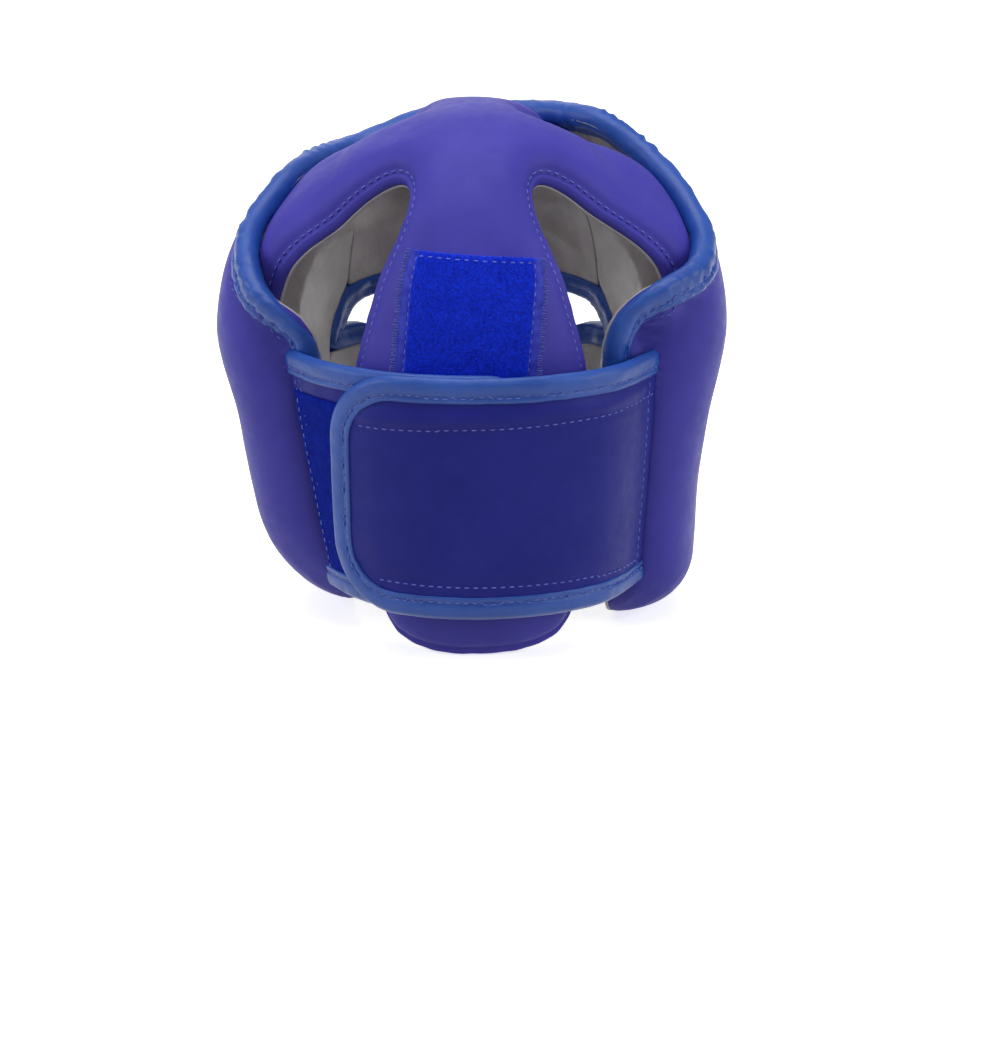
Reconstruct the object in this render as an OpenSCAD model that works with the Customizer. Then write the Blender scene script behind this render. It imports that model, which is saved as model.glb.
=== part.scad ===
// Boxing headgear: a padded shell round the brow, temples and cheeks, a crown pad whose
// rear tongue hangs down to the nape, two overlapping hook-and-loop straps at the back,
// and a chin strap. +Z is up and the face looks along -Y. Every pad is a sandwich of
// lining, foam and cover laid on one head form: a place on it is an angle (0 front,
// 90 the wearer's left, 180 back) and an arc length down from the top of the head.

/* [Head form] */
// Half-width of the head inside the padding
head_half_width = 84; // [80:1:88]
// Distance from the middle of the head to the inside of the brow
head_front = 98; // [92:1:104]
// Distance from the middle of the head to the inside of the nape
head_back = 86; // [80:1:90]
// Height of the widest level of the head above the lower edge
equator_z = 140; // [136:1:144]
// Height of the inside of the crown above the widest level
dome_height = 96; // [92:1:100]
// How far the wearer's left side is drawn in at the lower edge
left_taper = 27; // [10:1:30]
// How far the wearer's right side is drawn in at the lower edge
right_taper = 14; // [10:1:30]
// How far the nape is drawn in at the lower edge
nape_taper = 8; // [0:1:12]

/* [Padding] */
// Thickness of the side pads
side_pad = 36; // [32:1:38]
// Thickness of the brow pad
brow_pad = 27; // [24:1:30]
// Thickness of the cheek pads
cheek_pad = 26; // [24:1:28]
// Thickness of the crown pad
crown_pad = 14; // [12:0.5:14.5]
// Thickness of the nape pad
nape_pad = 11.5; // [10:0.5:11.5]
// Thickness of a pad where its edge is bound
bound_edge = 9.5; // [8:0.5:11]
// Thickness of the covers
cover_skin = 1.5; // [1.2:0.1:1.8]
// Thickness of the linings
lining_skin = 1.4; // [1:0.1:1.6]
// Radius of the ear openings
ear_radius = 16; // [12:1:18]

/* [Straps] */
// Lowest level of the closure straps
strap_low = 24; // [20:1:30]
// Highest level of the closure straps
strap_high = 142; // [138:1:144]
// Corner radius of the free ends
strap_corner = 34; // [20:1:40]
// Lowest level of the chin strap
chin_low = 16; // [12:1:20]
// Width of the chin strap
chin_width = 28; // [22:1:32]

/* [Hidden] */

arc_per_degree = 1.85;      // arc length over the dome for one degree from its pole
equator_arc = 90 * arc_per_degree;
taper_power = 1.2;
front_taper = 10;
side_per_degree = 1.6;      // arc length round the side of the head for one degree
body_shift = 3.75;          // moves the middle of the whole part onto the Z axis
skin_gap = 0.1;             // between the layers of one pad
tuck_gap = 1.5;             // between the crown pad and the shell over it

// upper edge of the shell on each side: [angle, arc length]
upper_left = [[0, 72], [12, 72], [24, 74], [36, 81], [48, 88], [60, 93], [72, 100], [84, 110],
              [95, 121], [104, 130], [110, 135.5], [116, 138]];
upper_right = [[0, 72], [36, 72], [48, 72], [60, 74], [72, 84], [84, 99], [95, 114], [104, 123],
               [112, 127], [116, 128]];
// the thin tabs behind the side pads: [angle, arc length above, arc length below]
tab_left = [[119.8, 141, 173], [124, 143, 174], [128, 148, 173], [131, 155, 171]];
tab_right = [[119.8, 129, 173], [126, 130, 174], [131, 132.5, 174], [136, 139, 173], [139.5, 152, 170]];
tab_inner = 2;
tab_outer = 9;
seam_angle = 48;            // between brow pad and side pads
cheek_seam = 62.8;          // between cheek pads and side pads
rear_end = 119;             // rear end of the side pads
rear_thickness = 13;        // there
bulge_angle = 95;           // where the side pads start to round off to the rear
brow_z = 149;
temple_z = 144;
cheek_top = 114;
cheek_bottom = 8;
cheek_front = 29;
ear_place = [87, equator_arc + 34];

// outline of a side pad round its ear opening: [angle, height], [angle] alone is on
// the upper edge
side_outline = [[49, 146], [49], [60], [72], [84], [95], [106], [114], [rear_end, 150],
                [rear_end, 112], [rear_end, 70], [rear_end, 30], [116, 0], [104, 0],
                [88, 0], [72, 0], [63.5, 4], [63.5, 40], [63.5, 84], [63.5, 112], [61.5, 122],
                [54, 136]];

// outline of the crown pad, flat, from the front to the middle of the back
crown_outline = [[0, -93], [26, -94], [48, -84], [48, -60], [33, -16], [45, -9], [108, -36],
                 [128, -6], [143, 38], [128, 47], [78, 50], [44, 52], [35, 58]];
crown_middle = [0, 26];
nape_top = 72;
nape_end = equator_arc + equator_z - 3;
// half-angle of the nape pad at arc lengths down it
nape_half = [[nape_top, 27], [120, 29], [172, 33], [215, 37], [262, 38], [282, 36],
             [294, 31], [301, 23], [nape_end, 12]];
patch_top = 111;            // the loop patch, in arc length down the nape
patch_end = 183;
patch_middle = 182;         // and its middle and half-angles at the top and the bottom
patch_half = [21, 19.5];
patch_clear = 0.3;
patch_thickness = 1.8;

over_root = -121;
over_end = 142;
under_root = 121;
under_end = -164;
over_level = 20.1;          // inner face of the over strap above the head form
under_level = 14.4;         // inner face of the under strap
tape = 1;                   // thickness of hook and loop tape
backing = 0.9;
core = 1.2;
bead_out = 2.4;             // half-thickness of a strap's binding
bead_side = 2.3;            // half its width
bead_gap = 0.35;            // between the binding and the strap's layers
bead_reach = bead_side + bead_gap;
over_root_sink = 6.3;       // how far a root dips to the pad, and over how many degrees
over_sink_angle = 26;
under_root_sink = 1.4;
under_sink_angle = 20;
end_lean = 9;               // how far the over strap's free end slants towards its lower corner
under_corner = 0.6;         // the under strap's corners, as a share of the over strap's
hook_trim = 12;             // from the strap's edge to its tapes
loop_trim = 14;

blue = [0.25, 0.2, 0.6];
shade_blue = [0.2, 0.16, 0.5];
edge_blue = [0.15, 0.3, 0.6];
pile_blue = [0.06, 0.16, 0.75];
hook_black = [0.1, 0.1, 0.12];
grey = [0.6, 0.56, 0.56];
foam_white = [0.9, 0.88, 0.82];

function clamp01(t) = min(max(t, 0), 1);
function smooth(t) = let (c = clamp01(t)) c * c * (3 - 2 * c);
function mix(a, b, t) = a + (b - a) * t;
function unit(v) = v / norm(v);
function reversed(list) = [for (i = [len(list) - 1:-1:0]) list[i]];
function round_off(t) = sqrt(1 - pow(1 - clamp01(t), 2));

// ---- the head form ----
function drop(z) = pow(max(0, equator_z - z) / equator_z, taper_power);
function half_width(a, z) = head_half_width - (sin(a) > 0 ? left_taper : right_taper) * drop(z);
function half_length(a, z) = cos(a) > 0 ? head_front - front_taper * drop(z)
                                        : head_back - nape_taper * drop(z);
function height(s) = s < equator_arc ? equator_z + dome_height * cos(s / arc_per_degree)
                                     : equator_z - (s - equator_arc);
function spread(s) = s < equator_arc ? sin(s / arc_per_degree) : 1;
function arc_at(z) = z > equator_z ? arc_per_degree * acos((z - equator_z) / dome_height)
                                   : equator_arc + equator_z - z;
function form_point(a, s) = let (z = height(s))
    [half_width(a, z) * sin(a) * spread(s), -half_length(a, z) * cos(a) * spread(s), z];
function form_normal(a, s) = let (
    p = form_point(a, s),
    w = half_width(a, p.z),
    l = half_length(a, p.z),
    up = max(0, p.z - equator_z) / pow(dome_height, 2))
    unit([p.x / pow(w, 2), p.y / pow(l, 2), up]);
// d out from the form; the shift brings the whole part's middle to the origin
function on_head(a, s, d) = form_point(a, s) + d * form_normal(a, s) + [0, body_shift, 0];
function flat_place(q) = [atan2(q.x, -q.y), norm(q)];
// the two rear seams lean a little, each its own way
function leaned(a, s) = a + 4 * clamp01((abs(a) - bulge_angle) / 24) * drop(height(s));

// ---- solids between two offsets: rows of [angle, arc, inner offset, outer offset] ----
function lower_points(rows) = [for (row = rows) for (q = row) on_head(q[0], q[1], q[2])];
function upper_points(rows) = [for (row = rows) for (q = row) on_head(q[0], q[1], q[3])];

module slab(rows, ring = false) {
    r = len(rows);
    c = len(rows[0]);
    n = r * c;
    span = ring ? c : c - 1;
    top = [for (i = [0:r - 2]) for (j = [0:span - 1])
        let (k = (j + 1) % c, p = i * c)
        each [[n + p + j, n + p + k, n + p + c + k], [n + p + j, n + p + c + k, n + p + c + j]]];
    low = [for (i = [0:r - 2]) for (j = [0:span - 1])
        let (k = (j + 1) % c, p = i * c)
        each [[p + j, p + c + k, p + k], [p + j, p + c + j, p + c + k]]];
    ends = [for (j = [0:span - 1])
        let (k = (j + 1) % c, p = (r - 1) * c)
        each [[j, k, n + k], [j, n + k, n + j], [p + j, n + p + k, p + k],
              [p + j, n + p + j, n + p + k]]];
    sides = ring ? [] : [for (i = [0:r - 2])
        let (p = i * c, q = i * c + c - 1)
        each [[p, n + p, n + p + c], [p, n + p + c, p + c], [q, n + q + c, n + q],
              [q, q + c, n + q + c]]];
    polyhedron(concat(lower_points(rows), upper_points(rows)), concat(top, low, ends, sides));
}

// a solid over a ring of rows that starts from one middle place
module disc(middle, rows) {
    c = len(rows[0]);
    r = len(rows);
    n = r * c;
    m = 2 * n;
    top = [for (i = [0:r - 2]) for (j = [0:c - 1])
        let (k = (j + 1) % c, p = i * c)
        each [[n + p + j, n + p + k, n + p + c + k], [n + p + j, n + p + c + k, n + p + c + j]]];
    low = [for (i = [0:r - 2]) for (j = [0:c - 1])
        let (k = (j + 1) % c, p = i * c)
        each [[p + j, p + c + k, p + k], [p + j, p + c + j, p + c + k]]];
    edge = [for (j = [0:c - 1])
        let (k = (j + 1) % c, p = (r - 1) * c)
        each [[p + j, n + p + k, p + k], [p + j, n + p + j, n + p + k]]];
    caps = [for (j = [0:c - 1])
        let (k = (j + 1) % c)
        each [[m, j, k], [m + 1, n + k, n + j]]];
    polyhedron(concat(lower_points(rows), upper_points(rows),
                      [on_head(middle[0], middle[1], middle[2]),
                       on_head(middle[0], middle[1], middle[3])]),
               concat(top, low, edge, caps));
}

// the three layers of a pad, from its inner and outer offsets
function lining_of(q) = [q[0], q[1], q[2], q[2] + lining_skin];
function foam_of(q) = [q[0], q[1], q[2] + lining_skin + skin_gap, q[3] - cover_skin - skin_gap];
function cover_of(q) = [q[0], q[1], q[3] - cover_skin, q[3]];
function layer_of(q, layer) = layer == "lining" ? lining_of(q)
                            : layer == "foam" ? foam_of(q) : cover_of(q);
function layered(rows, layer) = [for (row = rows) [for (q = row) layer_of(q, layer)]];
function mirrored(rows) = [for (row = rows) reversed([for (q = row) [-q[0], q[1], q[2], q[3]]])];

// ---- an edge binding: a flattened bead along places [angle, arc, offset] ----
module bead(path, out, side, closed = false, facets = 6) {
    n = len(path);
    points = [for (q = path) on_head(q[0], q[1], q[2])];
    rings = [for (i = [0:n - 1])
        let (
            before = points[closed ? (i + n - 1) % n : max(i - 1, 0)],
            after = points[closed ? (i + 1) % n : min(i + 1, n - 1)],
            up = form_normal(path[i][0], path[i][1]),
            across = unit(cross(after - before, up)))
        for (k = [0:facets - 1])
            points[i] + out * cos(360 * k / facets) * up + side * sin(360 * k / facets) * across];
    last = closed ? n - 1 : n - 2;
    walls = [for (i = [0:last]) for (k = [0:facets - 1])
        let (
            p = i * facets,
            q = ((i + 1) % n) * facets,
            l = (k + 1) % facets)
        each [[p + k, q + l, q + k], [p + k, p + l, q + l]]];
    caps = closed ? [] : [[for (k = [facets - 1:-1:0]) k],
                          [for (k = [0:facets - 1]) (n - 1) * facets + k]];
    polyhedron(rings, concat(walls, caps));
}

// ---- outlines ----
function upper_arc(a) = lookup(abs(a), a < 0 ? upper_right : upper_left);
function cut_corners(list) = [for (i = [0:len(list) - 1])
    let (a = list[i], b = list[(i + 1) % len(list)])
    each [mix(a, b, 0.25), mix(a, b, 0.75)]];
function outline_place(p, sign) = [p[0], len(p) == 1 ? upper_arc(sign * p[0]) : arc_at(p[1])];

// inner face of the shell: it steps out over the tucked ends of the crown pad
function shell_low(a, s) = (crown_pad + tuck_gap) * (1 - smooth((s - upper_arc(a) - 22) / 12));
function side_thickness(a) = abs(a) < bulge_angle
    ? mix(brow_pad, side_pad, smooth((abs(a) - seam_angle) / 27))
    : mix(rear_thickness, side_pad, round_off((rear_end + 1 - abs(a)) / 25));

// ---- brow pad ----
brow_columns = [for (i = [0:14]) mix(-1, 1, i / 14)];
brow_rows = [0, 0.07, 0.25, 0.5, 0.75, 0.93, 1];
function brow_low_arc(a) = arc_at(mix(brow_z, temple_z, pow(a / seam_angle, 2)));
function brow_place(u, v) = let (
    a = seam_angle * u,
    s = mix(upper_arc(a), brow_low_arc(a), v),
    low = shell_low(a, s),
    rise = round_off(min(v, 1 - v) / 0.25) * mix(0.75, 1, round_off((1 - abs(u)) / 0.2)))
    [a, s, low, low + bound_edge + (brow_pad - low - bound_edge) * rise];
module brow(layer) slab(layered([for (v = brow_rows) [for (u = brow_columns) brow_place(u, v)]],
                                layer));
module forehead_cover() { color(blue) brow("cover"); }
module forehead_foam() { color(foam_white) brow("foam"); }
module forehead_lining() { color(grey) brow("lining"); }

// ---- side pads, laid out round the ear opening ----
side_steps = [[0, 0.3], [0.1, 0.75], [0.45, 1], [0.82, 0.85], [1, 0]];
function side_loop(sign) = cut_corners([for (p = side_outline) outline_place(p, sign)]);
function ear_edge(q) = let (v = unit([(q[0] - ear_place[0]) * side_per_degree, q[1] - ear_place[1]]))
    ear_place + ear_radius * [v.x / side_per_degree, v.y];
function side_place(q, step, sign) = let (
    e = mix(ear_edge(q), q, step[0]),
    a = sign * e[0],
    s = e[1],
    low = shell_low(a, s),
    full = max(side_thickness(a), low + bound_edge))
    [leaned(a, s), s, low, low + bound_edge + (full - low - bound_edge) * step[1]];
function side_rows(sign) = [for (step = side_steps)
    let (row = [for (q = side_loop(sign)) side_place(q, step, sign)])
    sign > 0 ? row : reversed(row)];
module side(sign, layer) slab(layered(side_rows(sign), layer), ring = true);
module side_left_cover() { color(blue) side(1, "cover"); }
module side_left_foam() { color(foam_white) side(1, "foam"); }
module side_left_lining() { color(grey) side(1, "lining"); }
module side_right_cover() { color(blue) side(-1, "cover"); }
module side_right_foam() { color(foam_white) side(-1, "foam"); }
module side_right_lining() { color(grey) side(-1, "lining"); }

// ---- rear tabs, under the straps' roots ----
function tab_rows(tab) = [for (v = [0, 0.33, 0.67, 1])
    [for (q = tab) [q[0], mix(q[1], q[2], v), tab_inner, tab_outer]]];
module rear_tab_left() { color(blue) slab(tab_rows(tab_left)); }
module rear_tab_right() { color(blue) slab(mirrored(tab_rows(tab_right))); }

// ---- cheek pads ----
cheek_steps = [0, 0.08, 0.25, 0.5, 0.75, 0.92, 1];
function cheek_front_at(v) = cheek_front + 11 * pow(2 * v - 1, 4);
function cheek_place(u, v) = let (
    a = mix(cheek_front_at(v), cheek_seam, u),
    s = mix(arc_at(cheek_top), arc_at(cheek_bottom), v),
    rise = round_off(min(v, 1 - v) / 0.2) * round_off(min(u, mix(1, 0.6, u) * (1.3 - u)) / 0.25))
    [a, s, 0, bound_edge + (cheek_pad - bound_edge) * rise];
cheek_grid = [for (v = cheek_steps) [for (u = cheek_steps) cheek_place(u, v)]];
module cheek_left_cover() { color(blue) slab(layered(cheek_grid, "cover")); }
module cheek_left_foam() { color(foam_white) slab(layered(cheek_grid, "foam")); }
module cheek_left_lining() { color(grey) slab(layered(cheek_grid, "lining")); }
module cheek_right_cover() { color(blue) slab(layered(mirrored(cheek_grid), "cover")); }
module cheek_right_foam() { color(foam_white) slab(layered(mirrored(cheek_grid), "foam")); }
module cheek_right_lining() { color(grey) slab(layered(mirrored(cheek_grid), "lining")); }

// ---- crown pad ----
crown_steps = [[0.3, 1], [0.6, 1], [0.84, 0.9], [0.95, 0.6], [1, 0]];
crown_edge = 8;
rear_join = nape_top - 3;
crown_back = [for (a = [20, 7]) rear_join * [sin(a), cos(a)]];
crown_half = concat(crown_outline, crown_back);
crown_loop = cut_corners(concat(crown_half,
    [for (i = [len(crown_half) - 1:-1:1]) [-crown_half[i].x, crown_half[i].y]]));
function crown_place(q, step) = let (f = flat_place(mix(crown_middle, q, step[0])))
    [f[0], f[1], 0, mix(crown_edge, crown_pad, step[1])];
crown_rows = [for (step = crown_steps) [for (q = crown_loop) crown_place(q, step)]];
crown_centre = concat(flat_place(crown_middle), [0, crown_pad]);
module crown(layer) disc(layer_of(crown_centre, layer), layered(crown_rows, layer));
module crown_cover() { color(blue) crown("cover"); }
module crown_foam() { color(foam_white) crown("foam"); }
module crown_lining() { color(grey) crown("lining"); }

// ---- nape pad, hung from the crown ----
nape_edge = 5;
nape_columns = [-1, -0.93, -0.72, -0.36, 0, 0.36, 0.72, 0.93, 1];
nape_levels = [nape_top, 82, 100, 120, 142, 164, 188, 212, 238, 262, 282, 294, 301, nape_end];
function nape_place(u, s) = let (
    rise = round_off((1 - abs(u)) / 0.2) * round_off((nape_end + 2 - s) / 16))
    [180 + lookup(s, nape_half) * u, s, 0, mix(nape_edge, nape_pad, rise)];
nape_grid = [for (s = nape_levels) [for (u = nape_columns) nape_place(u, s)]];
module nape_cover() { color(blue) slab(layered(nape_grid, "cover")); }
module nape_foam() { color(foam_white) slab(layered(nape_grid, "foam")); }
module nape_lining() { color(grey) slab(layered(nape_grid, "lining")); }
module nape_loop_patch() {
    color(pile_blue)
        slab([for (v = [0:0.25:1])
            [for (u = [-1:0.25:1])
                [patch_middle + mix(patch_half[0], patch_half[1], v) * u,
                 mix(patch_top, patch_end, v), nape_pad + patch_clear,
                 nape_pad + patch_clear + patch_thickness]]]);
}

// ---- closure straps: t runs from the sewn root to the free end ----
over_sweep = 360 + over_root - over_end;
under_sweep = 360 + under_end - under_root;
strap_middle = (strap_low + strap_high) / 2;
strap_half = (strap_high - strap_low) / 2 - bead_side - bead_reach;
// what a rounded corner takes off the half-height; grow is for the binding round the strap
function corner_loss(t, sweep, grow) = let (
    r = strap_corner + grow,
    into = max(0, r - grow - (1 - t) * sweep * side_per_degree))
    r - sqrt(max(0, pow(r, 2) - pow(into, 2)));
function over_sink(t) = over_root_sink * (1 - smooth(t * over_sweep / over_sink_angle));
function under_sink(t) = under_root_sink * (1 - smooth(t * under_sweep / under_sink_angle));
// place of a point on the over strap: v is -1 at its lower edge and 1 at its upper
function over_place(t, v, trim = 0, grow = 0) = let (
    reach = strap_half - trim + grow - corner_loss(t, over_sweep, grow),
    s = arc_at(strap_middle + v * reach),
    a = -(abs(over_root) + over_sweep * t + end_lean * t * t * drop(height(s))))
    [leaned_root(a, s, t), s, over_level - over_sink(t)];
function under_place(t, v, trim = 0, grow = 0) = let (
    reach = strap_half - trim + grow - corner_loss(t, under_sweep, grow) * under_corner,
    s = arc_at(strap_middle + v * reach),
    a = under_root + under_sweep * t)
    [leaned_root(a, s, t), s, under_level - under_sink(t)];
function leaned_root(a, s, t) = a + 4 * (1 - smooth(t * 2)) * drop(height(s));
over_steps = [for (t = [0:0.08:0.8]) t];
strap_ends = [0.85, 0.9, 0.95, 0.985, 1];
function over_rows(times, low, high, trim = 0) = [for (v = [1:-0.5:-1])
    reversed([for (t = times) let (q = over_place(t, v, trim)) [q[0], q[1], q[2] + low, q[2] + high]])];
function under_rows(times, low, high, trim = 0) = [for (v = [1:-0.5:-1])
    [for (t = times) let (q = under_place(t, v, trim)) [q[0], q[1], q[2] + low, q[2] + high]]];
all_steps = concat(over_steps, strap_ends);
hook_steps = [0.4, 0.48, 0.56, 0.64, 0.72, 0.8, 0.85, 0.9, 0.95];
loop_steps = [0.08, 0.16, 0.24, 0.32, 0.4, 0.48, 0.56, 0.64, 0.72, 0.8, 0.85, 0.9];
lining_level = tape + skin_gap;
core_level = lining_level + backing + skin_gap;
cover_level = core_level + core + skin_gap;
outer_level = cover_level + backing;
module over_strap_hook() { color(hook_black) slab(over_rows(hook_steps, 0, tape, hook_trim)); }
module over_strap_lining() {
    color(shade_blue) slab(over_rows(all_steps, lining_level, lining_level + backing));
}
module over_strap_core() {
    color(foam_white) slab(over_rows(all_steps, core_level, core_level + core));
}
module over_strap_cover() { color(blue) slab(over_rows(all_steps, cover_level, outer_level)); }
module under_strap_hook() {
    color(hook_black)
        slab([for (z = [133, 122, 110])
            [for (a = [160:4:184]) [a, arc_at(z), under_level, under_level + tape - 0.2]]]);
}
module under_strap_lining() {
    color(shade_blue) slab(under_rows(all_steps, lining_level, lining_level + backing));
}
module under_strap_core() {
    color(foam_white) slab(under_rows(all_steps, core_level, core_level + core));
}
module under_strap_cover() {
    color(blue) slab(under_rows(all_steps, cover_level, cover_level + backing / 2));
}
module under_strap_loop() {
    color(pile_blue)
        slab(under_rows(loop_steps, cover_level + backing / 2 + 2 * skin_gap, outer_level + 0.7,
                        loop_trim));
}
bead_level = (lining_level + outer_level) / 2;
bead_end = 1 + bead_reach / (over_sweep * side_per_degree);
function over_edge(t, v) = over_place(t, v, 0, bead_reach) + [0, 0, bead_level];
function under_edge(t, v) = under_place(t, v, 0, bead_reach) + [0, 0, bead_level];
module over_strap_binding() {
    times = concat(all_steps, [bead_end]);
    path = concat([for (t = times) over_edge(t, 1)], [over_edge(bead_end, 0)],
                  [for (t = reversed(times)) over_edge(t, -1)]);
    color(edge_blue) bead(path, bead_out, bead_side);
}
module under_strap_binding() {
    color(edge_blue) {
        bead([for (t = all_steps) under_edge(t, 1)], bead_out, bead_side);
        bead([for (t = all_steps) under_edge(t, -1)], bead_out, bead_side);
    }
}

// ---- bindings of the shell ----
shell_bead = [bound_edge / 2, 3];
edge_clear = 3.3;
// the binding stands further off where the edge turns down to the rear
function upper_clear(a) = edge_clear
    * (1 + 0.5 * smooth((abs(a) - 88) / 14) + 1.2 * smooth((abs(a) - 110) / 7));
function upper_edge_place(a) = [leaned(a, upper_arc(a)), upper_arc(a) - upper_clear(a),
                                crown_pad + tuck_gap + bound_edge / 2];
module upper_binding() {
    color(edge_blue)
        bead([for (a = [-117:4.5:117]) upper_edge_place(a)], shell_bead[0], shell_bead[1]);
}
// round the face opening: up one cheek, round the eye, along the brow and down the other
function cheek_clear(v) = edge_clear * mix(1, 2, pow(2 * v - 1, 2)) / side_per_degree;
face_half = concat(
    [for (v = [1, 0.92, 0.75, 0.5, 0.25, 0.08])
        [cheek_front_at(v) - cheek_clear(v), mix(arc_at(cheek_top), arc_at(cheek_bottom), v)]],
    [for (a = [37, 46, 54]) [a, arc_at(cheek_top) - edge_clear - 0.4]],
    [[58, arc_at(124)], [51.5, arc_at(134)], [45, arc_at(temple_z) + 4]],
    [for (a = [36:-9:0]) [a, brow_low_arc(a) + edge_clear]]);
face_path = concat([for (q = face_half) [q[0], q[1], bound_edge / 2]],
                   [for (i = [len(face_half) - 2:-1:0])
                       [-face_half[i][0], face_half[i][1], bound_edge / 2]]);
module face_binding() { color(edge_blue) bead(face_path, shell_bead[0], shell_bead[1]); }
// under the lower edge, from the chin to the nape
lower_span = [34, 112];
lower_steps = 8;
lower_height = 10;
lower_half = [1.9, 4];
module lower_edge(sign) {
    color(edge_blue)
        bead([for (i = [0:lower_steps])
            let (a = sign * mix(lower_span[0], lower_span[1], i / lower_steps))
            [leaned(a, arc_at(lower_height)), arc_at(lower_height), -lower_half[0] - 0.3]],
            lower_half[0], lower_half[1]);
}
module lower_binding_left() { lower_edge(1); }
module lower_binding_right() { lower_edge(-1); }
ring_half = [8, 2];
ring_level = 9;
ring_steps = 20;
module ear_ring(sign) {
    r = ear_radius - ring_half[1] - 0.6;
    color(edge_blue)
        bead([for (i = [0:ring_steps - 1]) let (f = sign * 360 * i / ring_steps)
            [sign * (ear_place[0] + r * cos(f) / side_per_degree), ear_place[1] - sign * r * sin(f),
             ring_level]],
            ring_half[0], ring_half[1], closed = true);
}
module ear_ring_left() { ear_ring(1); }
module ear_ring_right() { ear_ring(-1); }

// ---- chin strap ----
chin_root = -57.5;
chin_free = 52;
chin_gap = 0.5;
chin_middle = chin_low + chin_width / 2;
cup_half_angle = 24;
cup_half_height = 22;
function chin_level(a) = mix(cheek_pad - 7, cheek_pad + 2.3, smooth(abs(a) / 33));
function chin_rows(from, to, steps, half, low, high) = [for (z = [half, 0, -half])
    [for (i = [0:steps]) let (a = mix(from, to, i / steps))
        [a, arc_at(chin_middle + z), chin_level(a) + low, chin_level(a) + high]]];
module chin_web() { color(shade_blue) slab(chin_rows(chin_root, chin_free, 22, chin_width / 2, 0, 1.7)); }
module chin_web_hook() {
    color(hook_black) slab(chin_rows(37, 50, 4, chin_width / 2 - 3, -1.0, -0.1));
}
module chin_loop_patch() {
    color(pile_blue)
        slab([for (z = [34, 0, -10]) [for (a = [36:3:54]) [a, arc_at(chin_middle + z),
                                                          cheek_pad + 0.15, cheek_pad + 0.8]]]);
}
module chin_anchor() {
    color(shade_blue)
        slab([for (z = [16, 0, -16]) [for (a = [-62, -58.7]) [a, arc_at(chin_middle + z),
                                                             cheek_pad + 0.3, cheek_pad + 3.2]]]);
}
cup_steps = [0, 0.1, 0.3, 0.5, 0.7, 0.9, 1];
function cup_place(u, v) = let (
    a = mix(-cup_half_angle, cup_half_angle, u),
    rise = round_off(min(u, 1 - u) / 0.2) * round_off(min(v, 1 - v) / 0.2))
    [a, arc_at(chin_middle + mix(cup_half_height, -cup_half_height, v)),
     chin_level(a) - mix(6, 13, rise), chin_level(a) - chin_gap];
cup_grid = [for (v = cup_steps) [for (u = cup_steps) cup_place(u, v)]];
module chin_cup_cover() { color(blue) slab(layered(cup_grid, "cover")); }
module chin_cup_foam() { color(foam_white) slab(layered(cup_grid, "foam")); }
module chin_cup_lining() { color(grey) slab(layered(cup_grid, "lining")); }

forehead_cover();
forehead_foam();
forehead_lining();
side_left_cover();
side_left_foam();
side_left_lining();
side_right_cover();
side_right_foam();
side_right_lining();
rear_tab_left();
rear_tab_right();
cheek_left_cover();
cheek_left_foam();
cheek_left_lining();
cheek_right_cover();
cheek_right_foam();
cheek_right_lining();
crown_cover();
crown_foam();
crown_lining();
nape_cover();
nape_foam();
nape_lining();
nape_loop_patch();
over_strap_cover();
over_strap_core();
over_strap_lining();
over_strap_hook();
over_strap_binding();
under_strap_cover();
under_strap_core();
under_strap_lining();
under_strap_loop();
under_strap_hook();
under_strap_binding();
upper_binding();
face_binding();
lower_binding_left();
lower_binding_right();
ear_ring_left();
ear_ring_right();
chin_web();
chin_web_hook();
chin_cup_cover();
chin_cup_foam();
chin_cup_lining();
chin_loop_patch();
chin_anchor();
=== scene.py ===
from collections import namedtuple

import bpy
import numpy as np
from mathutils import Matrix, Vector
from mathutils.bvhtree import BVHTree
from mathutils.geometry import delaunay_2d_cdt


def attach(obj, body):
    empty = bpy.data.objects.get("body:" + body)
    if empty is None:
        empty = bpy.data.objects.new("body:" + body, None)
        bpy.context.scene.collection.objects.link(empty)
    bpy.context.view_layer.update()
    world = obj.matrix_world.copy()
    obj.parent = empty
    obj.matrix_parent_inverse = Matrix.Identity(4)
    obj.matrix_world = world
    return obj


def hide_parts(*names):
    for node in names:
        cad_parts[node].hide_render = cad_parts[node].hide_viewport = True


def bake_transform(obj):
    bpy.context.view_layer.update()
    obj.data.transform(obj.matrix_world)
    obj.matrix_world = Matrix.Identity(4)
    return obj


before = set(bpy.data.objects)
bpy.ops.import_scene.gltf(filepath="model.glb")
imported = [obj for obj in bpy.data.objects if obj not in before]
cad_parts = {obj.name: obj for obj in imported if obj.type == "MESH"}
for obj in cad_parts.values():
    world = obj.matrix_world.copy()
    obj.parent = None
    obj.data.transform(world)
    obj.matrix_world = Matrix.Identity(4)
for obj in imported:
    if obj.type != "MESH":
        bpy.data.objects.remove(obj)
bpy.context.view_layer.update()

# Every shape below is made in millimetres and degrees on the CAD model's head form, and goes
# into Blender in metres. A place on the form is an angle (0 front, 90 the wearer's left,
# 180 back), an arc length down from the top of the head, and an offset out from it.
MM = 0.001
HALF_WIDTH, FRONT, BACK, EQUATOR, DOME = 84.0, 98.0, 86.0, 140.0, 96.0
LEFT_TAPER, RIGHT_TAPER, NAPE_TAPER, FRONT_TAPER, TAPER_POWER = 27.0, 14.0, 8.0, 10.0, 1.2
ARC = 1.85
EQUATOR_ARC = 90 * ARC
BODY_SHIFT = 3.75
SIDE_PAD, BROW_PAD, CHEEK_PAD, CROWN_PAD, NAPE_PAD = 36.0, 27.0, 26.0, 14.0, 11.5
TUCK = 15.5                  # the tucked crown pad under the shell
BOUND = 8.2                  # thickness of a pad under its binding
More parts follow.
